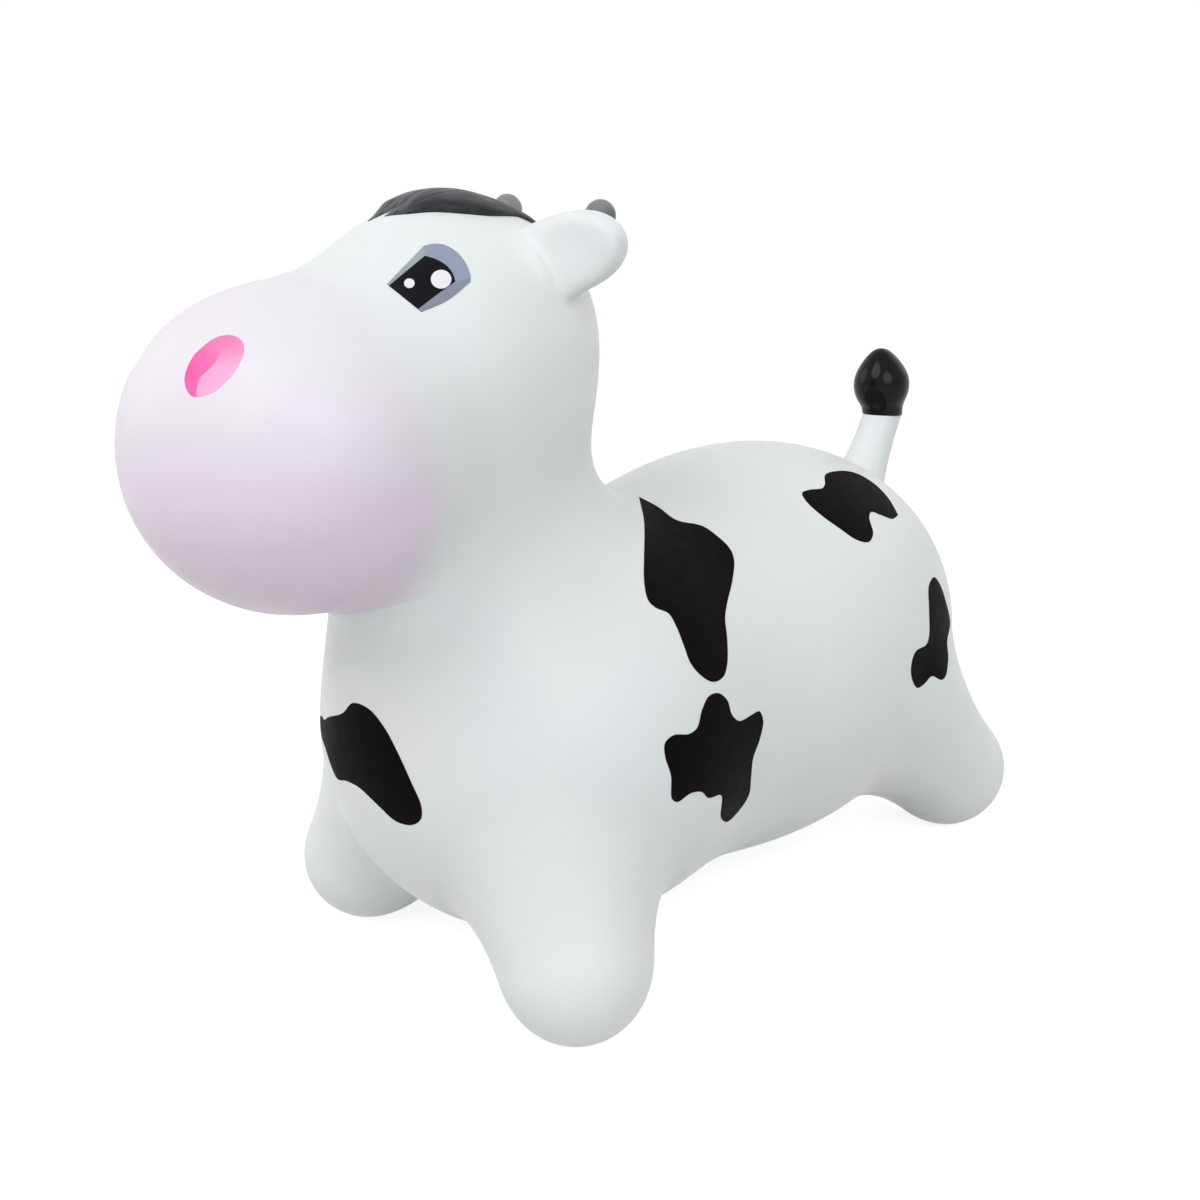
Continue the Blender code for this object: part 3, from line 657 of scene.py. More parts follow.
def outline(points, spacing, corners=()):
    """A closed smooth curve through the points, with sharp turns at the numbered corners."""
    points = np.array(points, float)
    count = len(points)
    curves = []
    for i in range(count):
        before, here, there, after = (points[(i + step) % count] for step in (-1, 0, 1, 2))
        if i in corners:
            before = 2 * here - there
        if (i + 1) % count in corners:
            after = 2 * there - here
        curves.append(curve_between(before, here, there, after, spacing))
    return np.concatenate(curves)


def inside(loop, points):
    """Which of the flat points lie inside a closed outline."""
    x, y = points[:, 0, None], points[:, 1, None]
    ax, ay = loop.T
    bx, by = np.roll(loop, -1, 0).T
    crossing = (ay > y) != (by > y)
    at = ax + (y - ay) / np.where(by == ay, 1, by - ay) * (bx - ax)
    return (crossing & (x < at)).sum(1) % 2 == 1


def edge_distance(loop, points, closed=True):
    """How far the flat points are from an outline."""
    ends = np.roll(loop, -1, 0) if closed else loop[1:]
    starts = loop[:len(ends)]
    way = ends - starts
    away = points[:, None] - starts
    share = np.clip((away * way).sum(-1) / (way * way).sum(-1), 0, 1)
    gap = away - share[..., None] * way
    return np.sqrt((gap * gap).sum(-1).min(1))


LINK_SNAP = 1e-6
FILL_CLEARANCE = 0.6
FAR = 0.6
STEEP = 0.9
FILM_SIGHT = 0.05
FILM_DEPTH = 0.0003


def linked(points, loops, spacing):
    """Triangles between flat points that keep the edges of closed loops, given as lists of numbers."""
    edges = [(loop[i - 1], loop[i]) for loop in loops for i in range(len(loop))]
    flat = [Vector(point) for point in (points / spacing).tolist()]
    _, _, faces, origin, _, _ = delaunay_2d_cdt(flat, edges, [], 0, LINK_SNAP)
    return np.array([[origin[i][0] for i in face] for face in faces])


def filled(loop, spacing):
    """Points and triangles that fill a closed outline evenly. The outline's own points come first."""
    low, high = loop.min(0), loop.max(0)
    rows = int((high[1] - low[1]) / (spacing * math.sqrt(3) / 2)) + 1
    columns = int((high[0] - low[0]) / spacing) + 2
    row, column = np.mgrid[0:rows, 0:columns]
    grid = np.stack([column + row % 2 / 2, row * math.sqrt(3) / 2], -1).reshape(-1, 2) * spacing + low
    grid = grid[inside(loop, grid)]
    grid = grid[edge_distance(loop, grid) > spacing * FILL_CLEARANCE]
    points = np.concatenate([loop, grid])
    faces = linked(points, [list(range(len(loop)))], spacing)
    return points, faces[inside(loop, points[faces].mean(1))]


def from_camera(u, v):
    """The ray through a pixel of the photograph: its start and its way."""
    half = PHOTO_SIDE / 2
    return CAMERA_PLACE, (RIGHT * (u - half) + OVER * (half - v)) / FOCAL_PIXELS - BACK


def looking(way, across, over):
    """A view along a way, of points given along two ways across it."""
    return lambda a, b: (across * a + over * b - way * FAR, way)


from_far_side = looking(LEFT, -AHEAD, UP)
from_behind = looking(AHEAD, LEFT, UP)
from_ahead = looking(-AHEAD, LEFT, UP)
from_above = looking(-UP, LEFT, -AHEAD)


def drawn(view, points):
    """The places on the skin that a view sees at these points."""
    places = []
    for point in points.tolist():
        start, way = view(*point)
        places.append(ground.ray_cast(start, way.normalized())[0][:])
    return on_skin(places)


def to_other_side(points):
    return points * (-1, 1, 1)


def new_piece(name, points, faces, normals=None):
    mesh = bpy.data.meshes.new(name)
    mesh.from_pydata(np.asarray(points).tolist(), [], [list(face) for face in faces])
    mesh.update()
    mesh.shade_smooth()
    if normals is not None:
        mesh.normals_split_custom_set_from_vertices(np.asarray(normals).tolist())
    piece = bpy.data.objects.new(name, mesh)
    bpy.context.scene.collection.objects.link(piece)
    return piece


def bands(rings, count, first=0):
    """Quads between rings of this many points that follow each other, from the first number on."""
    faces = []
    for start in range(first, first + (rings - 1) * count, count):
        for i in range(count):
            following = (i + 1) % count
            faces.append((start + i, start + following, start + count + following, start + count + i))
    return faces


def closed_layer(name, top, bottom, faces, rim, normals):
    """A thin closed body between two sheets of the same triangles. Its first points, rim of them, go
    round the edge. Without normals it is shaded by its faces."""
    first, second, third = (top[faces[:, i]] for i in range(3))
    rise = (top - bottom)[faces[:, 0]]
    facing = (np.cross(second - first, third - first) * rise).sum(1) > 0
    faces = np.where(facing[:, None], faces, faces[:, ::-1]).tolist()
    directed = {(face[i - 1], face[i]) for face in faces for i in range(3)}
    count = len(top)
    walls = []
    for i in range(rim):
        a, b = i, (i + 1) % rim
        if (a, b) not in directed:
            a, b = b, a
        walls.append((b, a, a + count, b + count))
    under = [[i + count for i in reversed(face)] for face in faces]
    if normals is not None:
        normals = np.concatenate([normals, -normals])
    return new_piece(name, np.concatenate([top, bottom]), [*faces, *under, *walls], normals)


def flat_frame(places):
    """The middle of some places on the skin, the way out of it, and two ways across."""
    out = outward(places).mean(0)
    out /= np.linalg.norm(out)
    across = np.cross(out, (0, 1.0, 0) if abs(out[2]) > STEEP else (0, 0, 1.0))
    across /= np.linalg.norm(across)
    return places.mean(0), out, np.stack([across, np.cross(out, across)])


def film(name, edge, spacing, height):
    """A thin film of paint on the skin, inside an edge of places on it."""
    centre, out, ways = flat_frame(edge)
    flat, faces = filled((edge - centre) @ ways.T, spacing)
    starts = centre + flat[len(edge):] @ ways + out * FILM_SIGHT
    hits = [ground.ray_cast(Vector(start), Vector(-out))[0][:] for start in starts]
    places = np.concatenate([edge, on_skin(hits)])
    normals = outward(places)
    return closed_layer(
        name, places + normals * height, places - normals * FILM_DEPTH, faces, len(edge), normals
    )


# Cutting the skin into the pieces that move

class Skin:
    """The skin's polygons, each with the number of the piece that it belongs to."""

    def __init__(self, points, faces):
        self.mesh = bmesh.new()
        self.tag = self.mesh.faces.layers.int.new("piece")
        self.names = ["torso_cover"]
        corners = [self.mesh.verts.new(point) for point in points.tolist()]
        for face in faces.tolist():
            self.mesh.faces.new([corners[i] for i in face])

    def open(self, loop):
        """Makes a hole in the skin whose edge is this loop of points on it."""
        centre = loop.mean(0)
        out = outward(centre[None])[0]
        across = np.cross(out, (0, 0, 1.0))
        across /= np.linalg.norm(across)
        over = np.cross(out, across)

        def flat(points):
            return (np.array(points) - centre) @ np.stack([across, over], 1)

        edge = flat(loop)
        reach = np.linalg.norm(loop - centre, axis=1).max() + 4 * CELL
        middle = Vector(centre)
        near = [face for face in self.mesh.faces if (face.calc_center_median() - middle).length < reach]
        gone = []
        for face in near:
            corners = flat([corner.co[:] for corner in face.verts])
            if inside(edge, corners).any() or edge_distance(edge, corners).min() < CELL / 2:
                gone.append(face)
        marked = set(gone)
        after = {}
        for face in gone:
            for corner in face.loops:
                if not marked.issuperset(corner.edge.link_faces):
                    after[corner.vert] = corner.link_loop_next.vert
        start = next(iter(after))
        border = [start]
        while after[border[-1]] is not start:
            border.append(after[border[-1]])
        bmesh.ops.delete(self.mesh, geom=gone, context="FACES")
        corners = border + [self.mesh.verts.new(point) for point in loop.tolist()]
        points = np.concatenate([flat([corner.co[:] for corner in border]), edge])
        count = len(border)
        faces = linked(points, [list(range(count)), list(range(count, len(points)))], CELL)
        middles = points[faces].mean(1)
        keep = inside(points[:count], middles) & ~inside(edge, middles)
        for face in faces[keep].tolist():
            a, b, c = points[face]
            if np.cross(b - a, c - a) * np.dot(np.cross(across, over), out) < 0:
                face.reverse()
            self.mesh.faces.new([corners[i] for i in face])

    def part(self, old, new, place, way, belongs):
        """Names what lies beyond the plane through place that way, of the faces of old that belong."""
        number = self.names.index(old)
        self.names.append(new)
        chosen = [
            face for face in self.mesh.faces
            if face[self.tag] == number and belongs(face.calc_center_median())
        ]
        edges = {edge for face in chosen for edge in face.edges}
        corners = {corner for face in chosen for corner in face.verts}
        bmesh.ops.bisect_plane(
            self.mesh, geom=[*chosen, *edges, *corners], dist=CUT_SNAP, plane_co=place, plane_no=way
        )
        for face in self.mesh.faces:
            middle = face.calc_center_median()
            if face[self.tag] == number and belongs(middle) and (middle - place).dot(way) > 0:
                face[self.tag] = len(self.names) - 1

    def piece(self, name):
        """The points and faces of a piece."""
        number = self.names.index(name)
        faces = [face for face in self.mesh.faces if face[self.tag] == number]
        corners = {corner: None for face in faces for corner in face.verts}
        order = {corner: i for i, corner in enumerate(corners)}
        points = np.array([corner.co[:] for corner in corners])
        return points, [[order[corner] for corner in face.verts] for face in faces]


def everywhere(point):
    return True


def around(place, distance):
    return lambda point: (point - place).length < distance


def on_side(side):
    return lambda point: point.x * side > 0


def mirrored_name(name, side):
    return name if side > 0 else name.replace("left", "right")


def leg_way(inward, back):
    """The way down a left leg at its cuts."""
    return turned_about("X", -back) @ turned_about("Y", -inward) @ -UP


LEGS = (
    ("front", FRONT_FOOT, leg_way(28, 12)),
    ("rear", REAR_FOOT, leg_way(27, -20)),
)
NECK_WAY = leaning_up(NECK_LEAN)
TAIL_WAY = leaning_up(TAIL_ROOT_LEAN)
EAR_WAY = turned_about("Y", -EAR_ROOT_RISE) @ LEFT


def cut_skin(skin):
    skin.part("torso_cover", "head_cover", NOD + NECK_WAY * NECK_BAND, NECK_WAY, everywhere)
    skin.part("torso_cover", "neck_cover", NOD - NECK_WAY * NECK_BAND, NECK_WAY, everywhere)
    for side in SIDES:
        for name, foot, down in LEGS:
            foot, down = sided(foot, side), sided(down, side)
            for part, height in (("foot", FOOT_CUFF), ("leg", FOOT_CUFF + LEG_WALL_LENGTH)):
                new = mirrored_name(f"{name}_left_{part}_cover", side)
                skin.part("torso_cover", new, foot - down * height, down, on_side(side))
        centre, root, out = (sided(thing, side) for thing in (EAR_CENTRE, EAR_ROOT, EAR_WAY))
        for name, start in (("left_ear_cover", EAR_ROOT_LENGTH), ("left_ear_root_cover", 0)):
            near_ear = around(centre, EAR_REACH)
            skin.part("head_cover", mirrored_name(name, side), root + out * start, out, near_ear)
    near_tail = around(TAIL_FOOT + TAIL_AXIS * TAIL_STEM_TOP / 2, TAIL_STEM_TOP)
    for name, start, way in (
        ("tail_tip", TUFT_FOOT, leaning_up(TUFT_SEAT_LEAN)),
        ("tail_stem_cover", TAIL_FOOT + TAIL_AXIS * (TAIL_ROOT_START + TAIL_ROOT_LENGTH), TAIL_WAY),
        ("tail_root_cover", TAIL_FOOT + TAIL_AXIS * TAIL_ROOT_START, TAIL_WAY),
    ):
        skin.part("torso_cover", name, start, way, near_tail)
    ahead = turned_about("X", MUZZLE_EDGE_LEAN) @ AHEAD
    skin.part("head_cover", "muzzle_cover", MUZZLE_EDGE, ahead, everywhere)


def skin_piece(skin, name, node):
    points, faces = skin.piece(name)
    points[:, 2] = np.maximum(points[:, 2], 0)
    piece = new_piece(name, points, faces, outward(points))
    finish_with(piece, skin_paint(node))
    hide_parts(node)
    return piece


def place_skin(skin):
    """Makes every piece of the skin and joins those that ride a single body to it; the others are left
    unjoined.
    """
    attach(skin_piece(skin, "torso_cover", "torso_skin"), "torso")
    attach(skin_piece(skin, "head_cover", "head_skin"), "head")
    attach(skin_piece(skin, "muzzle_cover", "muzzle_skin"), "head")
    neck = skin_piece(skin, "neck_cover", "neck_skin")
    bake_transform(neck)
    for side in SIDES:
        for name, foot, down in LEGS:
            foot, down = sided(foot, side), sided(down, side)
            body = mirrored_name(f"{name}_left_foot", side)
            cover = skin_piece(skin, f"{body}_cover", body)
            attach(cover, body)
            leg = mirrored_name(f"{name}_left_leg", side)
            cover = skin_piece(skin, f"{leg}_cover", leg)
            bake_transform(cover)
        body = mirrored_name("left_ear", side)
        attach(skin_piece(skin, f"{body}_cover", body), body)
        cover = skin_piece(skin, f"{body}_root_cover", f"{body}_root")
        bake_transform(cover)
    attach(skin_piece(skin, "tail_stem_cover", "tail_stem"), "tail")
    cover = skin_piece(skin, "tail_root_cover", "tail_root")
    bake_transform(cover)


# Patches of black paint. Those of the near side and the rump are outlined in pixels of the photograph,
# the others in metres: along Y and Z on the far side, X and Z ahead and behind, X and Y on the saddle.

PHOTO_SPACING = 3
SPACING = 0.0025
PATCH_HEIGHT = 0.0002
PHOTO_PATCHES = {
    "shoulder_patch": (
        (639, 497), (658, 507), (676, 520), (702, 526), (717, 536), (730, 549), (734, 560), (732, 582),
        (727, 603), (725, 618), (727, 639), (727, 664), (723, 677), (714, 682), (704, 678), (691, 664),
        (684, 646), (676, 626), (668, 613), (656, 608), (648, 600), (644, 580), (644, 557), (644, 521),
    ),
    "flank_patch": (
        (718, 693), (727, 700), (732, 715), (739, 721), (753, 714), (759, 711), (763, 720), (760, 738),
        (753, 758), (751, 776), (749, 794), (740, 809), (726, 822), (721, 818), (721, 795), (708, 798),
        (702, 792), (691, 793), (677, 802), (672, 799), (671, 776), (665, 756), (665, 743), (674, 735),
        (689, 734), (697, 728), (702, 710), (709, 696),
    ),
    "rump_patch": (
        (825, 475), (839, 471), (855, 473), (873, 483), (888, 498), (898, 515), (893, 519), (883, 516),
        (871, 512), (869, 517), (873, 534), (869, 542), (857, 540), (839, 528), (821, 515), (806, 501),
        (802, 493), (809, 490), (823, 488), (825, 484),
    ),
    "thigh_patch": (
        (934, 577), (940, 585), (946, 603), (950, 623), (947, 641), (948, 659), (945, 677), (941, 680),
        (932, 676), (924, 684), (917, 688), (912, 679), (911, 667), (916, 651), (926, 645), (929, 636),
        (929, 608), (929, 585),
    ),
}
PATCH_CORNERS = {"shoulder_patch": (0,), "rump_patch": (5,)}
CHEST_PATCH = (
    (-0.0278, 0.1765), (-0.0074, 0.185), (0.003, 0.1934), (0.0166, 0.1929), (0.0274, 0.1848),
    (0.0363, 0.1717), (0.0441, 0.1552), (0.0482, 0.1434), (0.0469, 0.1347), (0.0404, 0.1296),
    (0.0299, 0.1296), (0.0185, 0.1368), (0.0047, 0.1435), (-0.0088, 0.1436), (-0.0234, 0.1403),
    (-0.0327, 0.147), (-0.0405, 0.1535), (-0.050, 0.1555), (-0.057, 0.160), (-0.055, 0.1665),
    (-0.046, 0.1705), (-0.0395, 0.1708),
)
FAR_PATCHES = {
    "far_shoulder_patch": (
        (-0.060, 0.236), (-0.040, 0.250), (-0.015, 0.246), (0.004, 0.228), (0.020, 0.222), (0.026, 0.205),
        (0.012, 0.190), (-0.006, 0.186), (-0.014, 0.168), (-0.030, 0.158), (-0.044, 0.170),
        (-0.046, 0.192), (-0.062, 0.206), (-0.070, 0.222),
    ),
    "far_flank_patch": (
        (0.060, 0.170), (0.078, 0.186), (0.100, 0.180), (0.118, 0.192), (0.136, 0.180), (0.130, 0.160),
        (0.142, 0.142), (0.126, 0.128), (0.108, 0.134), (0.092, 0.118), (0.078, 0.130), (0.080, 0.148),
        (0.064, 0.154),
    ),
    "far_rump_patch": (
        (0.140, 0.240), (0.160, 0.250), (0.185, 0.240), (0.200, 0.222), (0.208, 0.200), (0.196, 0.190),
        (0.184, 0.206), (0.168, 0.208), (0.160, 0.224), (0.144, 0.226),
    ),
    "far_chest_patch": (
        (-0.110, 0.150), (-0.094, 0.160), (-0.078, 0.150), (-0.070, 0.128), (-0.078, 0.108),
        (-0.094, 0.104), (-0.108, 0.112), (-0.118, 0.132),
    ),
    "far_thigh_patch": (
        (0.206, 0.150), (0.222, 0.160), (0.238, 0.150), (0.242, 0.130), (0.232, 0.116), (0.218, 0.114),
        (0.212, 0.124), (0.202, 0.134),
    ),
}
SADDLE_PATCH = (
    (-0.060, 0.020), (-0.078, 0.012), (-0.094, 0.026), (-0.100, 0.050), (-0.090, 0.066), (-0.096, 0.082),
    (-0.082, 0.094), (-0.068, 0.082), (-0.070, 0.060), (-0.058, 0.042),
)
REAR_PATCH = (
    (0.010, 0.205), (0.034, 0.212), (0.050, 0.196), (0.046, 0.176), (0.056, 0.158), (0.040, 0.146),
    (0.024, 0.156), (0.014, 0.172), (-0.004, 0.180), (-0.006, 0.196),
)


def add_patches():
    edges = {
        name: drawn(from_camera, outline(points, PHOTO_SPACING, PATCH_CORNERS.get(name, ())))
        for name, points in PHOTO_PATCHES.items()
    }
    for name, points in FAR_PATCHES.items():
        edges[name] = drawn(from_far_side, outline(points, SPACING))
    edges["chest_patch"] = drawn(from_ahead, outline(CHEST_PATCH, SPACING))
    edges["saddle_patch"] = drawn(from_above, outline(SADDLE_PATCH, SPACING))
    edges["rear_patch"] = drawn(from_behind, outline(REAR_PATCH, SPACING))
    for name, edge in edges.items():
        patch = film(name, edge, SPACING, PATCH_HEIGHT)
        finish_with(patch, paints["patch"])
        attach(patch, "torso")


# Eyes, printed in flat layers, outlined in pixels of the photograph

EYE_SPACING = 1.6
EYE_FILL = 0.0016
EYE_STEP = 0.00012
EYE_BASE = (
    (387, 284.2), (424.2, 245.8), (434, 243.8), (445.5, 245.3), (458.4, 253.6), (467.2, 266),
    (470.6, 276.5), (470.2, 282.2), (447.2, 300.6), (421.4, 312.2),
)
EYE_BASE_CORNERS = (0, 1, 7, 9)
EYE_UPPER_BAND = ((387, 284.2), (424.2, 245.8), (427.6, 256.6), (392, 287.2))
EYE_LOWER_BAND = ((421.4, 312.2), (447.2, 300.6), (470.2, 282.2), (470.5, 277), (452, 285), (418, 309.4))
EYE_BLACK = (
    (389, 286), (425, 256.1), (436.4, 259.9), (446, 265.6), (452.4, 273.4), (455.2, 281.8),
    (436, 295.4), (418, 309.2),
)
EYE_BLACK_CORNERS = (0, 1, 5, 7)
# Middle, half width and half height
EYE_GLINTS = ((441, 279.8, 10.2, 9.3), (409.3, 283.9, 5.3, 4.8))


def ellipse(centre_u, centre_v, half_width, half_height, count=24):
    angles = np.linspace(0, 2 * math.pi, count, endpoint=False)
    return np.stack([centre_u + half_width * np.cos(angles), centre_v + half_height * np.sin(angles)], -1)


def add_eyes():
    layers = [
        ("base", EYE_BASE, EYE_BASE_CORNERS, 1, "eye_grey"),
        ("upper_band", EYE_UPPER_BAND, (0, 1, 2, 3), 2, "eye_shade"),
        ("lower_band", EYE_LOWER_BAND, (0, 2, 3, 4, 5), 2, "eye_dusk"),
        ("black", EYE_BLACK, EYE_BLACK_CORNERS, 3, "eye_black"),
        ("glint", ellipse(*EYE_GLINTS[0]), (), 4, "eye_white"),
        ("small_glint", ellipse(*EYE_GLINTS[1]), (), 4, "eye_white"),
    ]
    for side, other in (("left", False), ("right", True)):
        for name, points, corners, height, paint in layers:
            edge = drawn(from_camera, outline(points, EYE_SPACING, corners))
            if other:
                edge = to_other_side(edge)
            layer = film(f"{side}_eye_{name}", edge, EYE_FILL, height * EYE_STEP)
            finish_with(layer, paints[paint])
            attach(layer, "head")
            if name == "base":
                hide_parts(f"{side}_eye")


# Nostrils: cups with a crease at their deepest, both drawn in pixels of the photograph

NOSTRIL_EDGE = (
    (227.4, 335.0), (236, 336.4), (241.8, 340.7), (244.1, 345.8), (244.1, 352.1), (241.8, 359),
    (237.7, 367.6), (232, 376.3), (224.5, 383.7), (215.9, 391.2), (206.7, 395.6), (198.7, 397.6),
    (191.8, 396.3), (186.6, 390), (184.4, 382), (185.2, 374), (188.4, 364.8), (194.1, 355), (202.1, 347.2),
    (211.3, 340.1), (219.4, 336.1),
)
NOSTRIL_CREASE = (
    (220.5, 352.7), (215.9, 362.5), (206.7, 371.7), (199.9, 377.4), (197.6, 384.3), (196.4, 391.5),
)
NOSTRIL_SPLIT = ((231, 334), *NOSTRIL_CREASE, (195.8, 400))
NOSTRIL_SPACING = 1.1
NOSTRIL_DEPTH = 0.0066
CREASE_DEPTHS = (0.80, 1, 1, 1, 0.85, 0.50)
CREASE_SAMPLES = 12
FAR_NOSTRIL_TURN = -7.0
CUP_STRAIGHTNESS = 0.55
JOIN_DISTANCE = 1e-6
SHARP_FOLD = 40
CUP_SHARES = (0, 0.035, 0.12, 0.24, 0.38, 0.52, 0.66, 0.8, 0.9, 1)


def nostril_edge():
    return drawn(from_camera, outline(NOSTRIL_EDGE, NOSTRIL_SPACING))


def nostril_crease(out):
    """The crease's places, as far below the skin as the nostril is deep, where the photograph shows them."""
    knots = np.array(NOSTRIL_CREASE)
    at = np.linspace(0, len(knots) - 1, CREASE_SAMPLES)
    pixels = np.stack([np.interp(at, range(len(knots)), knots[:, i]) for i in (0, 1)], -1)
    depths = NOSTRIL_DEPTH * np.interp(at, range(len(knots)), CREASE_DEPTHS)
    places = []
    for (u, v), place, depth in zip(pixels.tolist(), drawn(from_camera, pixels), depths):
        way = from_camera(u, v)[1].normalized()
        places.append(place + np.array(way) * depth / -way.dot(Vector(out)))
    return np.array(places)


def to_far_nostril(points):
    """The same places on the other side, turned a little round the muzzle, out of the photograph's view."""
    middle = np.array(MUZZLE)
    return (to_other_side(points) - middle) @ np.array(turned_about("Z", FAR_NOSTRIL_TURN)).T + middle


def cup_rings(edge, crease, out):
    """Rings of points from a nostril's edge down to its crease."""
    axis = crease[-1] - crease[0]
    share = np.clip((edge - crease[0]) @ axis / (axis @ axis), 0, 1)
    targets = crease[np.round(share * (CREASE_SAMPLES - 1)).astype(int)]
    rings = []
    for t in CUP_SHARES:
        fall = CUP_STRAIGHTNESS * t + (1 - CUP_STRAIGHTNESS) * math.sin(t * math.pi / 2)
        level = edge + (targets - edge) * t
        rings.append(level - out * (((edge - targets) @ out) * (fall - t))[:, None])
    return rings


def add_nostrils(near_edge, far_edge):
    near_crease = nostril_crease(outward(near_edge.mean(0)[None])[0])
    count = len(near_edge)
    faces = bands(len(CUP_SHARES), count)
    pixels = outline(NOSTRIL_EDGE, NOSTRIL_SPACING)
    u, v = ((np.roll(pixels, -1, 0) + pixels) / 2).T
    split_u, split_v = np.array(NOSTRIL_SPLIT).T
    painted_shade_wall = u < np.interp(v, split_v, split_u)
    nostrils = (("left", near_edge, near_crease), ("right", far_edge, to_far_nostril(near_crease)))
    for side, edge, crease in nostrils:
        out = outward(edge.mean(0)[None])[0]
        cup = new_piece(f"{side}_nostril_cup", np.concatenate(cup_rings(edge, crease, out)), faces)
        middle, along = crease[CREASE_SAMPLES // 2], crease[-1] - crease[0]
        # The light wall's pink is painted light and the deep wall's pink is painted shade
        for name, shade in (("light", NOSTRIL_PAINTED_LIGHT_PINK), ("painted_shade_wall", NOSTRIL_PAINTED_SHADE_PINK)):
            cup.data.materials.append(nostril_paint(f"{side}_nostril_{name}", shade, middle, along))
        for face in cup.data.polygons:
            face.material_index = int(painted_shade_wall[face.index % count])
        bm = bmesh.new()
        bm.from_mesh(cup.data)
        bmesh.ops.remove_doubles(bm, verts=bm.verts, dist=JOIN_DISTANCE)
        bmesh.ops.recalc_face_normals(bm, faces=bm.faces)
        if sum(face.normal.dot(Vector(out)) for face in bm.faces) < 0:
            bmesh.ops.reverse_faces(bm, faces=bm.faces)
        bm.to_mesh(cup.data)
        bm.free()
        cup.data.set_sharp_from_angle(angle=math.radians(SHARP_FOLD))
        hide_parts(f"{side}_nostril")
        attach(cup, "head")


# Forelock: a raised cap of hair with three points ahead and one behind, outlined along X and Y

HAIR_EDGE_LINE = (
    (0, -0.056), (0.012, -0.063), (0.0215, -0.0715), (0.0268, -0.082), (0.029, -0.094), (0.034, -0.108),
    (0.0356, -0.1213), (0.0315, -0.136), (0.0220, -0.150), (0.0150, -0.1580), (0.0035, -0.1640),
    (0.0020, -0.1570), (-0.006, -0.1680), (-0.0115, -0.1600), (-0.018, -0.152), (-0.0262, -0.143),
    (-0.0325, -0.134), (-0.0356, -0.1213), (-0.034, -0.108), (-0.029, -0.094), (-0.0268, -0.082),
    (-0.0215, -0.0715), (-0.012, -0.063),
)
HAIR_TIPS = (0, 10, 11, 12)
HAIR_SPACING = 0.0011
# Place along Y, and height above the skin there
HAIR_HEIGHTS = (
    (-0.170, 0.0006), (-0.165, 0.0009), (-0.158, 0.0018), (-0.150, 0.0036), (-0.140, 0.0045),
    (-0.130, 0.0044), (-0.120, 0.0040), (-0.110, 0.0032), (-0.100, 0.0026), (-0.090, 0.0022),
    (-0.080, 0.0020), (-0.070, 0.0018), (-0.056, 0.0010),
)
HAIR_ROUNDING = 0.0062
HAIR_EDGE = 0.0004
HAIR_TIP_REACH = 0.013
HAIR_TIP_SHARE = 0.12
SUNK = 0.0006
HAIR_GROOVES = (
    ((0.0020, -0.157), (0.0035, -0.151), (0.0045, -0.144), (0.003, -0.137), (0, -0.131)),
    ((0.0150, -0.152), (0.0165, -0.138), (0.0150, -0.120), (0.0120, -0.103), (0.0060, -0.088)),
    ((-0.0150, -0.146), (-0.0190, -0.136), (-0.0180, -0.118), (-0.0135, -0.100), (-0.0060, -0.084)),
)
GROOVE_DEPTHS = (0.0016, 0.0004, 0.0006)
GROOVE_WIDTH = 0.0011
GROOVE_FADE = 0.7
GROOVE_LIMIT = 0.6
HAIR_SHARP_FOLD = 60


def add_forelock():
    loop = outline(HAIR_EDGE_LINE, HAIR_SPACING, HAIR_TIPS)
    flat, faces = filled(loop, HAIR_SPACING)
    places = drawn(from_above, flat)
    normals = outward(places)
    y, full = np.array(HAIR_HEIGHTS).T
    full = np.interp(flat[:, 1], y, full)
    distance = np.minimum(edge_distance(loop, flat) / HAIR_ROUNDING, 1)
    tips = np.array(HAIR_EDGE_LINE)[list(HAIR_TIPS)]
    reach = np.minimum(np.linalg.norm(flat[:, None] - tips, axis=-1).min(1) / HAIR_TIP_REACH, 1)
    taper = HAIR_TIP_SHARE + (1 - HAIR_TIP_SHARE) * reach * reach * (3 - 2 * reach)
    height = HAIR_EDGE + full * taper * np.sqrt(1 - (1 - distance) ** 2)
    for groove, depth in zip(HAIR_GROOVES, GROOVE_DEPTHS):
        line = np.array(groove)
        gap = edge_distance(line, flat, closed=False)
        start, end = line[0, 1], line[-1, 1]
        fade = np.clip((end - flat[:, 1]) / (end - start), 0, 1) ** GROOVE_FADE
        cut = depth * fade * np.exp(-(gap / GROOVE_WIDTH) ** 2)
        height = height - np.minimum(cut, height * GROOVE_LIMIT)
    top, bottom = places + normals * height[:, None], places - normals * SUNK
    hair = closed_layer("forelock_hair", top, bottom, faces, len(loop), None)
    hair.data.set_sharp_from_angle(angle=math.radians(HAIR_SHARP_FOLD))
    finish_with(hair, paints["hair"])
    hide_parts("forelock")
    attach(hair, "head")


# Lathed and rounded pieces: tuft, horns and valve. Profiles are of radius and height

ROUND = 64


def lathe(name, profile, frame, sides=ROUND):
    """Turns a profile of (radius, height) points round the Z axis of a frame. It starts and ends on the
    axis, or runs round to close on itself."""
    points, rings, faces = [], [], []
    for radius, height in profile:
        steps = 1 if radius == 0 else sides
        rings.append(range(len(points), len(points) + steps))
        for k in range(steps):
            angle = 2 * math.pi * k / sides
            points.append(frame @ Vector((radius * math.cos(angle), radius * math.sin(angle), height)))
    for low, high in zip(rings, rings[1:]):
        for k in range(sides):
            corners = ((low, k), (low, k + 1), (high, k + 1), (high, k))
            faces.append(list(dict.fromkeys(ring[step % len(ring)] for ring, step in corners)))
    return new_piece(name, [point[:] for point in points], faces)


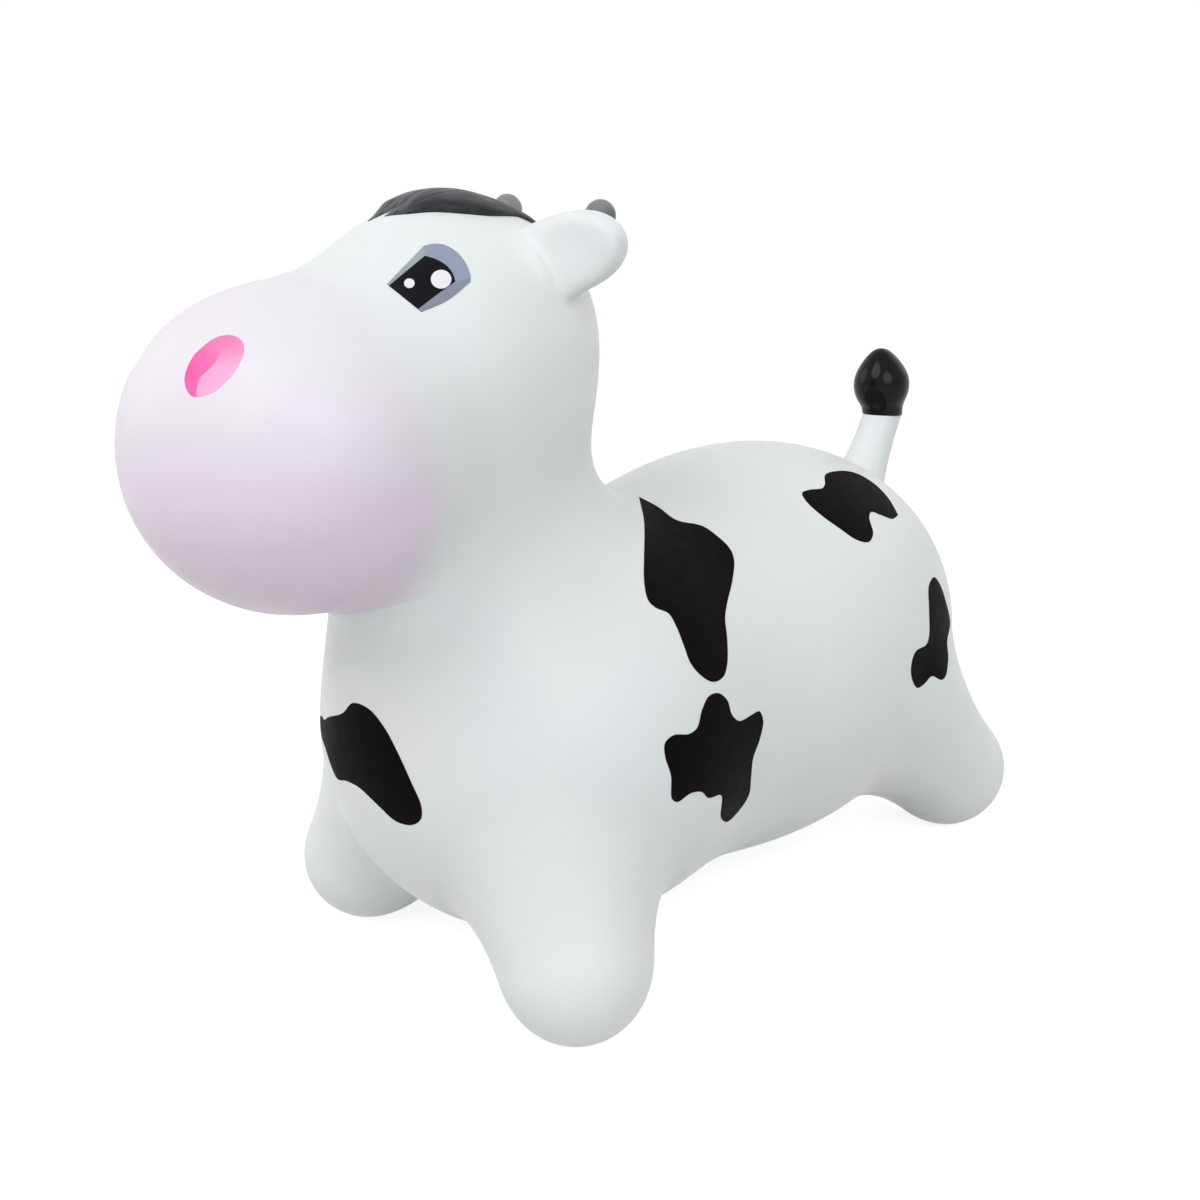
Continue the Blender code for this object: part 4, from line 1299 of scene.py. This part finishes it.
def smooth_profile(knots, spacing):
    """A smooth open curve through the knots of a profile, with both ends."""
    knots = np.array(knots, float)
    parts = []
    for i in range(len(knots) - 1):
        before = knots[i - 1] if i else 2 * knots[0] - knots[1]
        after = knots[i + 2] if i + 2 < len(knots) else 2 * knots[-1] - knots[-2]
        parts.append(curve_between(before, knots[i], knots[i + 1], after, spacing))
    return [tuple(point) for point in np.concatenate([*parts, knots[-1:]])]


TUFT_KNOTS = (
    (0.0157, 0.0044), (0.0160, 0.0062), (0.0173, 0.0096), (0.0192, 0.0136), (0.0207, 0.0181),
    (0.0213, 0.0230), (0.0207, 0.0287), (0.0186, 0.0345), (0.0151, 0.0403), (0.0109, 0.0455),
    (0.0064, 0.0496), (0.0027, 0.0513), (0, 0.0517),
)
TUFT_WAIST = 0.011
TUFT_SPACING = 0.0012
TUFT_ROUND = 96
TUFT_COLLAR = (
    (0, 0.0002), (0.0138, 0.0002), (0.0147, 0.0000), (0.0152, 0.0005), (0.0155, 0.0015),
    (0.0156, 0.0028), (0.0157, 0.0040),
)
HORN_RADIUS = 0.0088
HORN_SPLAY = 20.0
HORN_LEAN = -24.0
HORN_TIPS = {"left": (0.0405, -0.0388, 0.4567), "right": (-0.0400, -0.0440, 0.4622)}
HORN_TAPER = 0.0024
HORN_FLARE = 0.0042
HORN_DOME_BENDS = np.radians(np.linspace(8, 90, 12))
HORN_SHAFT_SHARES = (0.2, 0.4, 0.6, 0.8, 1)
HORN_SHAFT_CURVE = 1.4
HORN_FLARE_SHARES = np.linspace(0.15, 1, 7)
VALVE_PLACE = Vector((0, 0.23156, 0.04507))
VALVE_OUT = Vector((0, 0.53357, -0.84575))
VALVE_RADIUS = 0.013
SEAT_PROFILE = (
    (0.0045, -0.0120), (0.0128, -0.0120), (0.0130, -0.0116), (0.0130, -0.0008), (0.0128, -0.0003),
    (0.0124, 0), (0.0109, 0), (0.0105, -0.0002), (0.0103, -0.0006), (0.0103, -0.0020), (0.0049, -0.0020),
    (0.0045, -0.0024), (0.0045, -0.0120),
)
PLUG_PROFILE = (
    (0, -0.0140), (0.0034, -0.0140), (0.0039, -0.0136), (0.0042, -0.0120), (0.0042, -0.0017),
    (0.0096, -0.0017), (0.0100, -0.0013), (0.0100, -0.0004), (0.0097, 0), (0.0090, 0.0001),
    (0.0086, -0.0003), (0.0030, -0.0003), (0, -0.0003),
)
GRIP_HALF_LENGTH = 0.0085
GRIP_HALF_WIDTH = 0.0012
GRIP_HEIGHT = 0.0009
GRIP_EDGE_SHARE = 0.55
VALVE_SHARP_FOLD = 35


def frame_towards(place, way):
    """A frame at a place with its Z axis along a way."""
    return Matrix.Translation(place) @ way.to_track_quat("Z", "Y").to_matrix().to_4x4()


def add_tuft():
    frame = Matrix.Translation(TUFT_FOOT) @ turned_about("X", TUFT_LEAN).to_4x4()
    profile = [*TUFT_COLLAR, *smooth_profile(TUFT_KNOTS, TUFT_SPACING)]
    tuft = lathe("tail_tuft_bulb", profile, frame, TUFT_ROUND)
    seat = math.tan(math.radians(TUFT_LEAN - TUFT_SEAT_LEAN))
    for vertex in tuft.data.vertices:
        local = frame.inverted() @ vertex.co
        local.z -= local.y * seat * min(1, max(0, 1 - local.z / TUFT_WAIST))
        vertex.co = frame @ local
    finish_with(tuft, paints["tuft"])
    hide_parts("tail_tuft")
    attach(tuft, "tail")


def horn_rings(tip, turn):
    """Rings of points down a horn: its dome, its side, and the fillet that spreads onto the skin."""
    axis = np.array(turn @ UP)
    angles = np.linspace(0, 2 * math.pi, ROUND, endpoint=False)
    ways = np.array([turn @ Vector((math.cos(angle), math.sin(angle), 0)) for angle in angles])
    rings = []
    for bend in HORN_DOME_BENDS:
        rings.append(tip + ways * HORN_RADIUS * math.sin(bend) + axis * HORN_RADIUS * (math.cos(bend) - 1))
    shoulder = rings[-1]
    foot = shoulder + ways * HORN_TAPER
    hits = np.array([ground.ray_cast(Vector(point), Vector(-axis))[0][:] for point in foot])
    shaft = np.linalg.norm(hits - foot, axis=1)[:, None] - HORN_FLARE
    for share in HORN_SHAFT_SHARES:
        rings.append(shoulder + ways * HORN_TAPER * share ** HORN_SHAFT_CURVE - axis * shaft * share)
    low = rings[-1]
    for share in HORN_FLARE_SHARES:
        bend = share * math.pi / 2
        ring = low - axis * HORN_FLARE * math.sin(bend) + ways * HORN_FLARE * (1 - math.cos(bend))
        rings.append(ring + (on_skin(ring) - ring) * share ** 2)
    rings.append(rings[-1] - outward(rings[-1]) * SUNK)
    return rings


def add_horns():
    for side, tip in HORN_TIPS.items():
        splay = turned_about("Y", HORN_SPLAY if side == "left" else -HORN_SPLAY)
        rings = horn_rings(np.array(tip), splay @ turned_about("X", HORN_LEAN))
        points = np.concatenate([[tip], *rings])
        faces = [(0, 1 + k, 1 + (k + 1) % ROUND) for k in range(ROUND)]
        faces += [(a, d, c, b) for a, b, c, d in bands(len(rings), ROUND, 1)]
        faces.append(tuple(reversed(range(len(points) - ROUND, len(points)))))
        horn = new_piece(f"{side}_horn_nub", points, faces)
        finish_with(horn, paints["horn"])
        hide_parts(f"{side}_horn")
        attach(horn, "head")


def rounded_bar(name, frame, half_length, half_width, height):
    bm = bmesh.new()
    bmesh.ops.create_cube(bm, size=2)
    bmesh.ops.scale(bm, vec=(half_length, half_width, height), verts=bm.verts)
    edge = height * GRIP_EDGE_SHARE
    bmesh.ops.bevel(bm, geom=bm.edges[:], offset=edge, segments=3, profile=0.5, affect="EDGES")
    bmesh.ops.transform(bm, matrix=frame, verts=bm.verts)
    bar = new_piece(name, [], [])
    bm.to_mesh(bar.data)
    bm.free()
    bar.data.shade_smooth()
    return bar


def valve_edge():
    """The edge of the hole in the skin that the valve's seat fills."""
    ring = ellipse(0, 0, VALVE_RADIUS, VALVE_RADIUS, ROUND)
    frame = frame_towards(VALVE_PLACE, VALVE_OUT)
    return on_skin([(frame @ Vector((x, y, 0)))[:] for x, y in ring.tolist()])


def add_valve():
    frame = frame_towards(VALVE_PLACE, VALVE_OUT)
    seat = lathe("valve_seat_ring", SEAT_PROFILE, frame)
    finish_with(seat, paints["valve"])
    seat.data.set_sharp_from_angle(angle=math.radians(VALVE_SHARP_FOLD))
    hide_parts("valve_seat")
    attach(seat, "torso")
    plug = lathe("valve_plug_stopper", PLUG_PROFILE, frame)
    plug.data.set_sharp_from_angle(angle=math.radians(VALVE_SHARP_FOLD))
    finish_with(plug, paints["valve"])
    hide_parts("valve_plug")
    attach(plug, "plug")
    grip = rounded_bar("valve_plug_grip", frame, GRIP_HALF_LENGTH, GRIP_HALF_WIDTH, GRIP_HEIGHT)
    finish_with(grip, paints["valve"])
    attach(grip, "plug")


# The room, the lights and the camera

AMBIENT_COLOUR = (0.97, 1.0, 0.96)
AMBIENT_STRENGTH = 0.47
FLOOR_SIZE = 40
FLOOR_COLOUR = (0.56, 0.56, 0.56)
FLOOR_GLOW = (0.80, 0.80, 0.80, 1)
BODY_MIDDLE = (0, 0, 0.22)
# Name, place, target, width, power in watts and colour
LAMPS = (
    ("head_light", (0.1, -1.9, 2.3), BODY_MIDDLE, 1.8, 25, (0.98, 0.98, 1.04)),
    ("side_light", (2.3, -1.0, 1.6), BODY_MIDDLE, 1.8, 21, (0.96, 0.99, 1.05)),
    ("far_light", (-2.2, -1.2, 1.2), BODY_MIDDLE, 1.6, 8, (1.0, 1.0, 1.0)),
    ("back_light", (0.3, 2.4, 1.9), BODY_MIDDLE, 2.4, 8, (1.02, 1.0, 0.96)),
)
CAMERA_NEAR = 0.01


def area_light(name, place, target, size, power, colour):
    light = bpy.data.lights.new(name, "AREA")
    light.shape = "DISK"
    light.size = size
    light.energy = power
    light.color = colour
    lamp = bpy.data.objects.new(name, light)
    lamp.location = place
    lamp.rotation_euler = (Vector(target) - Vector(place)).to_track_quat("-Z", "Y").to_euler()
    bpy.context.scene.collection.objects.link(lamp)


def seen_ray(tree):
    """A value of 1 for rays of the camera, of reflections and through glass."""
    total = node(tree, "LightPath", {}, "Is Camera Ray")
    for name in ("Is Glossy Ray", "Is Transmission Ray"):
        other = node(tree, "LightPath", {}, name)
        total = node(tree, "Math", {0: total, 1: other}, operation="MAXIMUM")
    return total


def light_room():
    world = bpy.data.worlds.new("studio")
    bpy.context.scene.world = world
    world.use_nodes = True
    tree = world.node_tree
    ambient = tree.nodes["Background"]
    ambient.inputs["Color"].default_value = (*AMBIENT_COLOUR, 1)
    ambient.inputs["Strength"].default_value = AMBIENT_STRENGTH
    white = node(tree, "Background", {"Color": (1, 1, 1, 1)})
    both = node(tree, "MixShader", {0: seen_ray(tree), 1: ambient.outputs[0], 2: white})
    tree.links.new(both, tree.nodes["World Output"].inputs["Surface"])

    half = FLOOR_SIZE / 2
    corners = [(-half, -half, 0), (half, -half, 0), (half, half, 0), (-half, half, 0)]
    floor = new_piece("studio_floor", corners, [(0, 1, 2, 3)])
    paint = Paint("floor_white", FLOOR_COLOUR, 0.9, 0)
    tree = paint.tree
    glow = node(tree, "Emission", {"Strength": seen_ray(tree), "Color": FLOOR_GLOW})
    both = node(tree, "AddShader", {0: paint.shader.outputs[0], 1: glow})
    tree.links.new(both, tree.nodes["Material Output"].inputs["Surface"])
    floor.data.materials.append(paint.material)

    for name, *lamp in LAMPS:
        area_light(name, *lamp)


def place_camera():
    view = bpy.data.cameras.new("photo_view")
    view.sensor_width = SENSOR_WIDTH
    view.lens = FOCAL_PIXELS * SENSOR_WIDTH / PHOTO_SIDE
    view.clip_start = CAMERA_NEAR
    camera = bpy.data.objects.new("photo_view", view)
    turn = Matrix((RIGHT, OVER, BACK)).transposed().to_4x4()
    camera.matrix_world = Matrix.Translation(CAMERA_PLACE) @ turn
    bpy.context.scene.collection.objects.link(camera)
    bpy.context.scene.camera = camera


# Everything, in order

bpy.context.scene.view_settings.view_transform = "Standard"
paints = make_paints()
skin_points, skin_faces = fine_skin()
ground = BVHTree.FromPolygons(skin_points.tolist(), skin_faces.tolist())
skin = Skin(skin_points, skin_faces)
left_nostril_edge = nostril_edge()
skin.open(left_nostril_edge)
right_nostril_edge = on_skin(to_far_nostril(left_nostril_edge))
skin.open(right_nostril_edge)
skin.open(valve_edge())
cut_skin(skin)
place_skin(skin)
add_patches()
add_eyes()
add_nostrils(left_nostril_edge, right_nostril_edge)
add_forelock()
add_horns()
add_tuft()
add_valve()
light_room()
place_camera()
